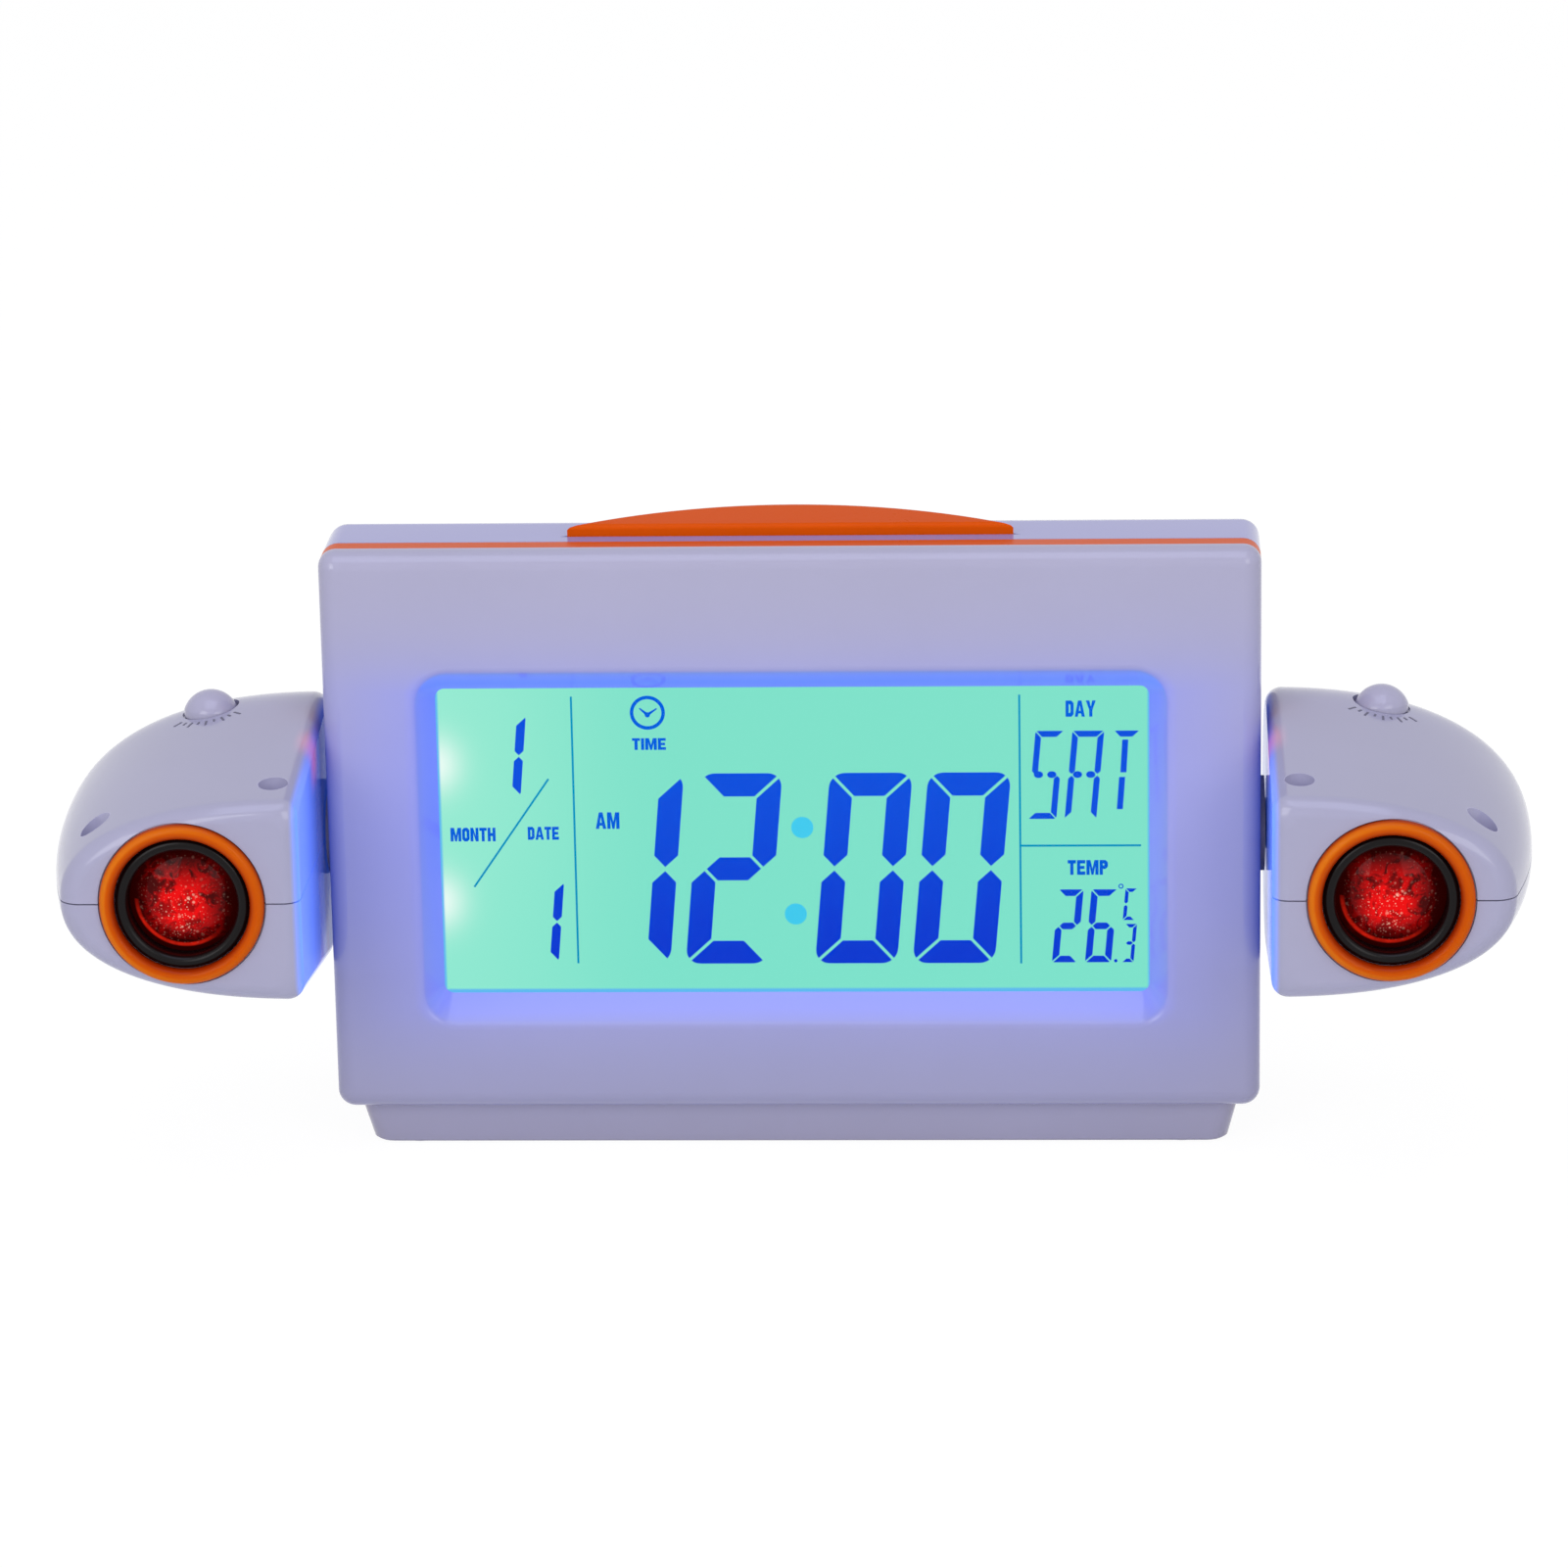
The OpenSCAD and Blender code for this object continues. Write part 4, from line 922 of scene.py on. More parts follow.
    def carved(self, cutter: "Shape", keep: Cut = Cut.OUTSIDE) -> "Shape":
        """Cuts this shape with another.

        Args:
            cutter: The other shape, which is used up.
            keep: The part that is kept.

        Returns:
            The new shape; this one is used up.
        """
        pair = [self.trial(), cutter.trial()]
        change = pair[0].modifiers.new("cut", "BOOLEAN")
        change.operation, change.solver, change.object = keep.value, "EXACT", pair[1]
        graph = bpy.context.evaluated_depsgraph_get()
        result = bpy.data.meshes.new_from_object(pair[0].evaluated_get(graph))
        made = Shape()
        made.bm.from_mesh(result)
        for trial in pair:
            mesh = trial.data
            bpy.data.objects.remove(trial)
            bpy.data.meshes.remove(mesh)
        bpy.data.meshes.remove(result)
        return made

    def trial(self) -> Object:
        """The shape as a passing object for a cut.

        Returns:
            The object; the shape is used up.
        """
        bmesh.ops.recalc_face_normals(self.bm, faces=self.bm.faces)
        mesh = bpy.data.meshes.new("trial")
        self.bm.to_mesh(mesh)
        self.bm.free()
        made = bpy.data.objects.new("trial", mesh)
        bpy.context.collection.objects.link(made)
        return made

    def mirrored(self) -> None:
        """Turns the shape into its mirror image across the clock."""
        bmesh.ops.scale(self.bm, vec=(-1.0, 1.0, 1.0), verts=self.bm.verts)
        bmesh.ops.reverse_faces(self.bm, faces=self.bm.faces)

    def piece(
        self,
        name: str,
        body: str,
        slot: str,
        finish: Finish,
        replaces: Iterable[str] = (),
    ) -> Object:
        """Ends the shape as a piece of the clock.

        Args:
            name: The piece's name.
            body: The body that carries it.
            slot: The record's material slot; not used.
            finish: Its finish.
            replaces: Solids that it stands for.

        Returns:
            The finished object.
        """
        bmesh.ops.remove_doubles(self.bm, verts=self.bm.verts, dist=MERGE)
        bmesh.ops.recalc_face_normals(self.bm, faces=self.bm.faces)
        bmesh.ops.transform(self.bm, matrix=TO_MODEL, verts=self.bm.verts)
        open_edges = sum(not edge.is_manifold for edge in self.bm.edges)
        mesh = bpy.data.meshes.new(name)
        self.bm.to_mesh(mesh)
        self.bm.free()
        LOG.info("%s: %d faces, %d open edges", name, len(mesh.polygons), open_edges)
        return dress(mesh, name, body, finish, replaces)


def dress(
    mesh: bpy.types.Mesh,
    name: str,
    body: str,
    finish: Finish,
    replaces: Iterable[str],
) -> Object:
    """Makes a mesh a smooth, finished piece that rides on a body.

    Args:
        mesh: The mesh, in metres.
        name: The piece's name.
        body: The body that carries it.
        finish: Its finish.
        replaces: Solids that it stands for.

    Returns:
        The finished object.
    """
    mesh.shade_smooth()
    mesh.set_sharp_from_angle(angle=CREASE)
    mesh.materials.clear()
    mesh.materials.append(finish.material())
    made = bpy.data.objects.new(name, mesh)
    bpy.context.collection.objects.link(made)
    weights = made.modifiers.new("even_normals", "WEIGHTED_NORMAL")
    weights.keep_sharp = True
    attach(made, body)
    nodes = list(replaces)
    if nodes:
        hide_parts(*nodes)
    return made


def smoothed(node: str, finish: Finish | None = None) -> Object:
    """Stands a merged, smooth-shaded copy in for a solid.

    Args:
        node: The solid's name.
        finish: Its finish, or that of its slot.

    Returns:
        The copy.
    """
    bm = bmesh.new()
    bm.from_mesh(frame["nodes"][node].data)
    bmesh.ops.remove_doubles(bm, verts=bm.verts, dist=MERGE * MM)
    limits = {"angle_limit": FLAT, "delimit": {"NORMAL"}}
    bmesh.ops.dissolve_limit(bm, verts=bm.verts, edges=bm.edges, **limits)
    mesh = bpy.data.meshes.new(node + "_smooth")
    bm.to_mesh(mesh)
    bm.free()
    slot = slot_of(node)
    LOG.info("%s: smooth copy, %d faces", node, len(mesh.polygons))
    return dress(mesh, node + "_smooth", body_of(node), finish or SLOTS[slot], [node])


def slot_of(node: str) -> str:
    """The record's material slot of a solid."""
    rows = frame["record"]["subparts"]
    return next(row["material_slot"] for row in rows if row["node"] == node)


def body_of(node: str) -> str:
    """The body that carries a solid."""
    rows = frame["record"]["behaviour"]["bodies"]
    return next(name for name, nodes in rows.items() if node in nodes)


@dataclass(frozen=True)
class Display:
    """Sizes of the display opening, in millimetres."""

    width: float = 111.4
    height: float = 50.0
    centre: float = 50.6
    depth: float = 4.9
    corner: float = 1.5
    flare_x: float = 3.1
    flare_z: float = 4.0
    flare_corner: float = 5.5
    flare_wall: float = 1.2
    lip: float = 1.5
    window_lap: float = 1.3
    window_back: float = 5.9
    window_edge: float = 0.2
    marks_front: float = 6.0
    marks_back: float = 6.08

    def window(self) -> None:
        """Builds the clear window in front of the display, with softened edges."""
        shape, loops = Shape(), []
        edge, front, back = self.window_edge, self.depth, self.window_back
        for inset, y in ((edge, front), (0.0, front + edge), (0.0, back - edge), (edge, back)):
            grow = 2 * (self.window_lap - inset)
            place = Matrix.Translation((0.0, y, self.centre)) @ FACING
            loops.append(shape.outline((self.width + grow, self.height + grow), self.corner, place))
        shape.bridge(loops)
        shape.cap(loops[0])
        shape.cap(loops[-1])
        slot = "clear_plastic"
        shape.piece("clear_window", "clock_body", slot, SLOTS[slot], ["display_window"])

    def build(self) -> None:
        """Builds the window and the marks of the display, and finishes its panel."""
        self.window()
        Marks(self).build()
        smoothed("display_glass")


@dataclass(frozen=True)
class Pen:
    """How the numerals of one field are drawn."""

    stroke: float
    gap: float
    corner: float


BIG_PEN = Pen(4.25, 0.25, 2.6)
DATE_PEN = Pen(1.6, 0.1, 0.7)
WARMTH_PEN = Pen(1.3, 0.12, 0.6)
SMALL_PEN = Pen(0.72, 0.08, 0.3)
DAY_PEN = Pen(1.15, 0.1, 0.5)


@dataclass(frozen=True)
class Numeral:
    """One numeral or letter of the display, made of seven parts."""

    parts: str
    left: float
    foot: float
    width: float
    height: float
    pen: Pen
    lean: float = 0.091
    steps: int = 4

    def part(self, key: str) -> list[Point]:
        """Outline of one part.

        Args:
            key: Letter of the part, from a at the top clockwise to f, and g across the middle.

        Returns:
            The outline's points from the display's centre.
        """
        wide, high, thick, soft = self.width, self.height, self.pen.stroke, self.pen.corner
        half, middle, in_x, in_z = thick / 2, high / 2, wide - thick, high - thick
        corner = (wide - soft, high - soft)
        top = arc((soft, high - soft), soft, 135.0, 90.0, self.steps)
        top += arc(corner, soft, 90.0, 45.0, self.steps) + [(in_x, in_z), (thick, in_z)]
        right = arc(corner, soft, 45.0, 0.0, self.steps)
        right += [(wide, middle + half), (wide - half, middle), (in_x, middle + half), (in_x, in_z)]
        across = [(half, middle), (thick, middle + half), (in_x, middle + half)]
        across += [(wide - x, high - z) for x, z in across]
        shapes = {
            "a": top,
            "b": right,
            "c": [(x, high - z) for x, z in right],
            "d": [(x, high - z) for x, z in top],
            "e": [(wide - x, high - z) for x, z in right],
            "f": [(wide - x, z) for x, z in right],
            "g": across,
        }
        return [(self.left + x + z * self.lean, self.foot + z) for x, z in shapes[key]]


WIDTHS = {"M": 0.82, "I": 0.22, "A": 0.7, "Y": 0.68, "N": 0.62, "H": 0.6}


@dataclass(frozen=True)
class Letter:
    """One bold, narrow capital letter of unit height."""

    key: str
    stroke: float = 0.22
    space: float = 0.07
    corner: float = 0.16
    inner: float = 0.4
    bar: float = 0.4
    usual: float = 0.56

    @property
    def width(self) -> float:
        """Width of the letter."""
        return WIDTHS.get(self.key, self.usual)

    def bowl(self, low: float) -> list[Point]:
        """Right half of a rounded ring.

        Args:
            low: Height that it stands on.

        Returns:
            The outline's points.
        """
        wide, thick, cut = self.width, self.stroke, self.corner
        middle, soft, in_x = wide / 2, self.inner * cut, wide - thick
        floor, roof = low + thick, 1.0 - thick
        points = [(middle, 1.0), (wide - cut, 1.0), (wide, 1.0 - cut)]
        points += [(wide, low + cut), (wide - cut, low), (middle, low)]
        points += [(middle, floor), (in_x - soft, floor), (in_x, floor + soft)]
        return points + [(in_x, roof - soft), (in_x - soft, roof), (middle, roof)]

    def hook(self, low: float) -> list[Point]:
        """Stem with the left half of a square ring.

        Args:
            low: Height that the ring stands on.

        Returns:
            The outline's points.
        """
        middle, thick = self.width / 2, self.stroke
        points = [(0.0, 0.0), (0.0, 1.0), (middle, 1.0), (middle, 1.0 - thick), (thick, 1.0 - thick)]
        points += [(thick, low + thick), (middle, low + thick), (middle, low)]
        return points + ([(thick, low), (thick, 0.0)] if low > 0.0 else [])

    def peak(self) -> list[Point]:
        """Left half of an A.

        Returns:
            The outline's points.
        """
        middle, thick = self.width / 2, self.stroke
        top, low, high, inside = 0.55 * thick, 0.2, 0.2 + 0.75 * thick, 0.72
        slope = (middle - thick) / inside
        points = [(0.0, 0.0), (middle - top, 1.0), (middle, 1.0), (middle, inside)]
        points += [(thick + slope * high, high), (middle, high), (middle, low)]
        return points + [(thick + slope * low, low), (thick, 0.0)]

    def even(self) -> list[Point]:
        """A letter in one outline that is its own mirror image.

        Returns:
            The outline's points.
        """
        wide, thick = self.width, self.stroke
        half, middle = thick / 2, wide / 2
        stem, leg, roof = middle - half, middle - thick, 1.0 - thick
        sides = {
            "M": [(0.0, 0.0), (0.0, 1.0), (1.25 * thick, 1.0), (middle, 0.42)],
            "Y": [(stem, 0.0), (stem, 0.42), (0.0, 1.0), (1.1 * thick, 1.0), (middle, 0.62)],
            "T": [(stem, 0.0), (stem, roof), (0.0, roof), (0.0, 1.0), (middle, 1.0)],
            "I": [(0.0, 0.0), (0.0, 1.0), (middle, 1.0)],
            "H": [(0.0, 0.0), (0.0, 1.0), (thick, 1.0), (thick, 0.5 + half), (middle, 0.5 + half)],
        }
        feet = {
            "M": [(0.32 * thick, 0.0), (leg, 0.6), (leg, 0.0)],
            "H": [(0.0, 0.5 - half), (leg, 0.5 - half), (leg, 0.0)],
        }
        left, foot = sides[self.key], feet.get(self.key, [])
        right = [(wide - x, z) for x, z in reversed(left[:-1])]
        under = [(middle + x, z) for x, z in reversed(foot)]
        return left + right + under + [(middle - x, z) for x, z in foot if x > 0.0]

    def outlines(self) -> list[list[Point]]:
        """The letter's outlines, none of which has a hole.

        Returns:
            The points of each outline.
        """
        wide, thick = self.width, self.stroke
        if self.key in "OD":
            right = self.bowl(0.0)
            return [right, [(wide - x, z) for x, z in right] if self.key == "O" else self.hook(0.0)]
        if self.key == "P":
            return [self.hook(self.bar), self.bowl(self.bar)]
        if self.key == "A":
            left = self.peak()
            return [left, [(wide - x, z) for x, z in left]]
        if self.key in "MYTIH":
            return [self.even()]
        if self.key == "N":
            left = [(0.0, 0.0), (0.0, 1.0), (thick, 1.0), (wide - thick, 0.4), (wide - thick, 1.0)]
            return [left + [(wide - x, 1.0 - z) for x, z in left]]
        arm, short, roof = 0.45 * thick, 0.9 * wide, 1.0 - thick
        left = [(0.0, 0.0), (0.0, 1.0), (wide, 1.0), (wide, roof), (thick, roof)]
        left += [(thick, 0.5 + arm), (short, 0.5 + arm), (short, 0.5 - arm), (thick, 0.5 - arm)]
        return [left + [(thick, thick), (wide, thick), (wide, 0.0)]]


@dataclass(frozen=True)
class Word:
    """One small word, fitted to a box."""

    text: str
    left: float
    right: float
    low: float
    high: float

    def outlines(self) -> list[list[Point]]:
        """Outlines of the word's letters in their places.

        Returns:
            The points of each outline.
        """
        letters = [Letter(key) for key in self.text]
        total = sum(letter.width + letter.space for letter in letters) - letters[-1].space
        across, high = (self.right - self.left) / total, self.high - self.low
        start, placed = self.left, []
        for letter in letters:
            for outline in letter.outlines():
                placed.append([(start + x * across, self.low + z * high) for x, z in outline])
            start += (letter.width + letter.space) * across
        return placed


@dataclass(frozen=True)
class Case:
    """The clock's case: front shell, band, rear shell and plinth."""

    view: Display = Display()
    width: float = 146.0
    height: float = 91.0
    base: float = 7.6
    edge: float = 3.0
    corner: float = 2.8
    rim: float = 3.5
    wall: float = 2.0
    band_end: float = 7.0
    band_edge: float = 0.12
    least: float = 0.25
    skirt_top: float = 2.1
    skirt_drop: float = 0.6
    steps: int = 6
    fittings: tuple[str, ...] = (
        "rubber_feet", "snooze_bar", "mode_key", "set_key", "up_key", "down_key", "battery_door",
        "switch_slider", "slide_switch", "power_inlet", "pivot_washers", "case_screws", "plinth_screws",
        "speaker",
    )

    def face(self, inset: float, y: float) -> tuple[Point, float, Matrix]:
        """The case's outline at a depth.

        Args:
            inset: How far it is drawn in.
            y: The depth.

        Returns:
            Its size, its corners' radius and its place, as Shape.outline takes them.
        """
        middle = Matrix.Translation((0.0, y, self.base + self.height / 2)) @ FACING
        size = (self.width - 2 * inset, self.height - 2 * inset)
        return size, max(self.corner - inset, self.least), middle

    def mouth(self, grow: Point, radius: float, y: float) -> tuple[Point, float, Matrix]:
        """The display opening's outline at a depth, as Shape.outline takes it."""
        middle = Matrix.Translation((0.0, y, self.view.centre)) @ FACING
        return (self.view.width + 2 * grow[0], self.view.height + 2 * grow[1]), radius, middle

    def flare(self, grow: float, y: float) -> tuple[Point, float, Matrix]:
        """The flared opening's outline at a depth, as Shape.outline takes it."""
        view = self.view
        return self.mouth((view.flare_x + grow, view.flare_z + grow), view.flare_corner + grow, y)

    def front_shell(self) -> None:
        """Builds the front shell from its display opening round to its inner wall."""
        view, shape = self.view, Shape()
        slope = math.atan((view.flare_x + view.flare_z) / 2 / view.depth)
        lip_turn = math.pi / 2 - slope
        reach = view.lip * math.tan(lip_turn / 2)
        rows = [self.mouth((0.0, 0.0), view.corner, view.depth)]
        for i in range(self.steps, -1, -1):
            turn = lip_turn * i / self.steps
            rows.append(self.flare(reach - view.lip * math.sin(turn), view.lip * (1 - math.cos(turn))))
        for i in range(self.steps + 1):
            turn = math.pi / 2 * i / self.steps
            rows.append(self.face(self.edge * (1 - math.sin(turn)), self.edge * (1 - math.cos(turn))))
        rows += [self.face(0.0, self.rim), self.face(self.wall, self.rim), self.face(self.wall, self.wall)]
        wall = view.flare_wall
        rows.append(self.flare(wall, self.wall + wall))
        rows.append(self.mouth((wall, wall), view.corner + wall, view.depth - wall / 4))
        shape.bridge([shape.outline(*row) for row in rows], closed=True)
        shape.piece("front_panel", "clock_body", "shell_plastic", PANEL_PLASTIC, ["front_shell"])

    def band(self) -> None:
        """Builds the coloured band between the shells."""
        shape, soft = Shape(), self.band_edge
        rows = [
            self.face(soft, self.rim), self.face(0.0, self.rim + soft),
            self.face(0.0, self.band_end - soft), self.face(soft, self.band_end),
            self.face(self.wall, self.band_end), self.face(self.wall, self.rim),
        ]
        shape.bridge([shape.outline(*row) for row in rows], closed=True)
        shape.piece("colour_band", "clock_body", "trim_plastic", TRIM_PLASTIC, ["trim_band"])

    def plinth(self) -> None:
        """Finishes the plinth, with its lower edge drawn down over the rubber feet."""
        made = smoothed("plinth", BASE_PLASTIC)
        for vert in made.data.vertices:
            if vert.co.z < self.skirt_top * MM:
                vert.co.z -= self.skirt_drop * MM

    def build(self) -> None:
        """Builds the case."""
        self.front_shell()
        self.band()
        smoothed("rear_shell", REAR_PLASTIC)
        self.plinth()
        for node in self.fittings:
            smoothed(node)


@dataclass(frozen=True)
class Marks:
    """The marks that the display shows, placed from its centre."""

    view: Display
    middle: float = 50.9
    numerals: tuple[Numeral, ...] = (
        Numeral("bc", -33.15, -21.15, 13.45, 31.8, BIG_PEN),
        Numeral("abged", -17.75, -21.15, 13.5, 31.8, BIG_PEN),
        Numeral("abcdef", 2.7, -21.15, 13.45, 31.8, BIG_PEN),
        Numeral("abcdef", 18.1, -21.15, 13.45, 31.8, BIG_PEN),
        Numeral("bc", -48.15, 6.8, 5.4, 13.15, DATE_PEN),
        Numeral("bc", -42.9, -20.55, 5.4, 13.25, DATE_PEN),
        Numeral("abged", 40.2, -20.95, 4.2, 12.25, WARMTH_PEN),
        Numeral("afgcde", 45.4, -20.95, 4.35, 12.25, WARMTH_PEN),
        Numeral("abgcd", 51.25, -20.9, 2.0, 6.45, SMALL_PEN),
        Numeral("afed", 51.4, -13.95, 2.0, 5.35, SMALL_PEN),
        Numeral("afcd", 36.6, 2.7, 4.65, 14.5, DAY_PEN),
        Numeral("abcef", 42.35, 2.7, 5.15, 14.5, DAY_PEN),
        Numeral("a", 48.8, 2.7, 4.25, 14.5, DAY_PEN),
    )
    dots: tuple[float, ...] = (38.42, 40.5, 44.51, 46.58)
    dot_z: float = 10.0
    dot_r: float = 0.72
    dot_squash: float = 0.75
    stems: tuple[Line, ...] = ((51.67, 10.34, 51.98, 15.64), (51.09, 4.34, 51.48, 9.57))
    stem_half: float = 0.47
    point: Point = (50.38, -20.6)
    point_r: float = 0.27
    words: tuple[Word, ...] = (
        Word("MONTH", -54.1, -47.0, -0.58, 1.64),
        Word("DATE", -41.9, -37.0, -0.35, 1.76),
        Word("TIME", -25.1, -19.8, 14.3, 16.2),
        Word("AM", -31.15, -27.4, 1.4, 4.1),
        Word("DAY", 42.7, 47.4, 19.4, 22.0),
        Word("TEMP", 42.9, 49.2, -6.4, -4.0),
    )
    lines: tuple[Line, ...] = (
        (-34.5, 23.0, -34.5, -20.8),
        (35.5, 23.0, 35.5, -21.0),
        (35.6, -1.6, 54.4, -1.6),
        (-38.4, 9.6, -50.6, -8.1),
    )
    line_width: float = 0.32
    colon: tuple[Triple, ...] = ((1.33, 1.51, 1.74), (0.07, -12.73, 1.74))
    rings: tuple[Line, ...] = ((-22.58, 20.34, 2.75, 0.55), (51.24, -8.3, 0.4, 0.16))
    ring_steps: int = 48
    hub: Point = (-22.59, 20.0)
    hub_r: float = 0.42
    hands: tuple[Point, ...] = ((-23.75, 21.0), (-21.2, 20.95))
    hand_half: float = 0.24
    hand_tip: float = 0.1
    hand_taper: float = 0.4
    round_sides: int = 24

    def build(self) -> None:
        """Builds all marks."""
        self.digits()
        self.divider_lines()
        self.colon_dots()
        self.dial_sign()
        self.small_words()

    def flat(self, shape: Shape, points: Sequence[Point], gap: float = 0.0) -> None:
        """Adds one mark from an outline given from the display's centre."""
        lifted = [(x, z + self.middle) for x, z in points]
        shape.plate(lifted, self.view.marks_front, self.view.marks_back, gap)

    def disc(self, centre: Point, radius: float, squash: float = 1.0) -> list[Point]:
        """Outline of a round mark."""
        points = arc((0.0, 0.0), radius, 0.0, 360.0 - 360.0 / self.round_sides, self.round_sides - 1)
        return [(centre[0] + x, centre[1] + z * squash) for x, z in points]

    def end(self, shape: Shape, name: str, ink: Ink) -> None:
        """Ends a shape as a piece of the display."""
        shape.piece(f"display_{name}", "clock_body", "display_glass", ink)

    def digits(self) -> None:
        """Builds the numerals and the weekday's letters."""
        shape, half = Shape(), self.stem_half
        for numeral in self.numerals:
            for key in numeral.parts:
                self.flat(shape, numeral.part(key), numeral.pen.gap)
        for x in self.dots:
            self.flat(shape, self.disc((x, self.dot_z), self.dot_r, self.dot_squash))
        for x0, z0, x1, z1 in self.stems:
            self.flat(shape, [(x0 - half, z0), (x0 + half, z0), (x1 + half, z1), (x1 - half, z1)])
        self.flat(shape, self.disc(self.point, self.point_r))
        self.end(shape, "numerals", DARK_INK)

    def divider_lines(self) -> None:
        """Builds the thin lines between the fields."""
        shape = Shape()
        for x0, z0, x1, z1 in self.lines:
            along = Vector((x1 - x0, z1 - z0)).normalized() * (self.line_width / 2)
            side = Vector((-along.y, along.x))
            ends = [(x0, z0, 1.0), (x0, z0, -1.0), (x1, z1, -1.0), (x1, z1, 1.0)]
            self.flat(shape, [(x + side.x * s, z + side.y * s) for x, z, s in ends])
        self.end(shape, "lines", LINE_INK)

    def colon_dots(self) -> None:
        """Builds the pale dots between hours and minutes."""
        shape = Shape()
        for x, z, radius in self.colon:
            self.flat(shape, self.disc((x, z), radius))
        self.end(shape, "colon", DOT_INK)

    def dial_sign(self) -> None:
        """Builds the small dial above the word for the time, and the degree ring."""
        shape, hub = Shape(), Vector(self.hub)
        thick = self.view.marks_front - self.view.marks_back
        for x, z, radius, width in self.rings:
            place = Matrix.Translation((x, self.view.marks_front, z + self.middle)) @ FACING
            inner = radius - width
            ring = [(inner, 0.0), (radius, 0.0), (radius, thick), (inner, thick), (inner, 0.0)]
            shape.turned(ring, place, self.ring_steps)
        for hand in self.hands:
            along = (Vector(hand) - hub).normalized()
            side = Vector((-along.y, along.x)) * self.hand_half
            tip, narrow = Vector(hand) + along * self.hand_tip, side * self.hand_taper
            corners = (hub - side, hub + side, tip + narrow, tip - narrow)
            self.flat(shape, [tuple(corner) for corner in corners])
        self.flat(shape, self.disc(self.hub, self.hub_r))
        self.end(shape, "signs", WORD_INK)

    def small_words(self) -> None:
        """Builds the small words of the display, each fitted to its box."""
        shape = Shape()
        for word in self.words:
            for outline in word.outlines():
                self.flat(shape, outline)
        self.end(shape, "words", WORD_INK)


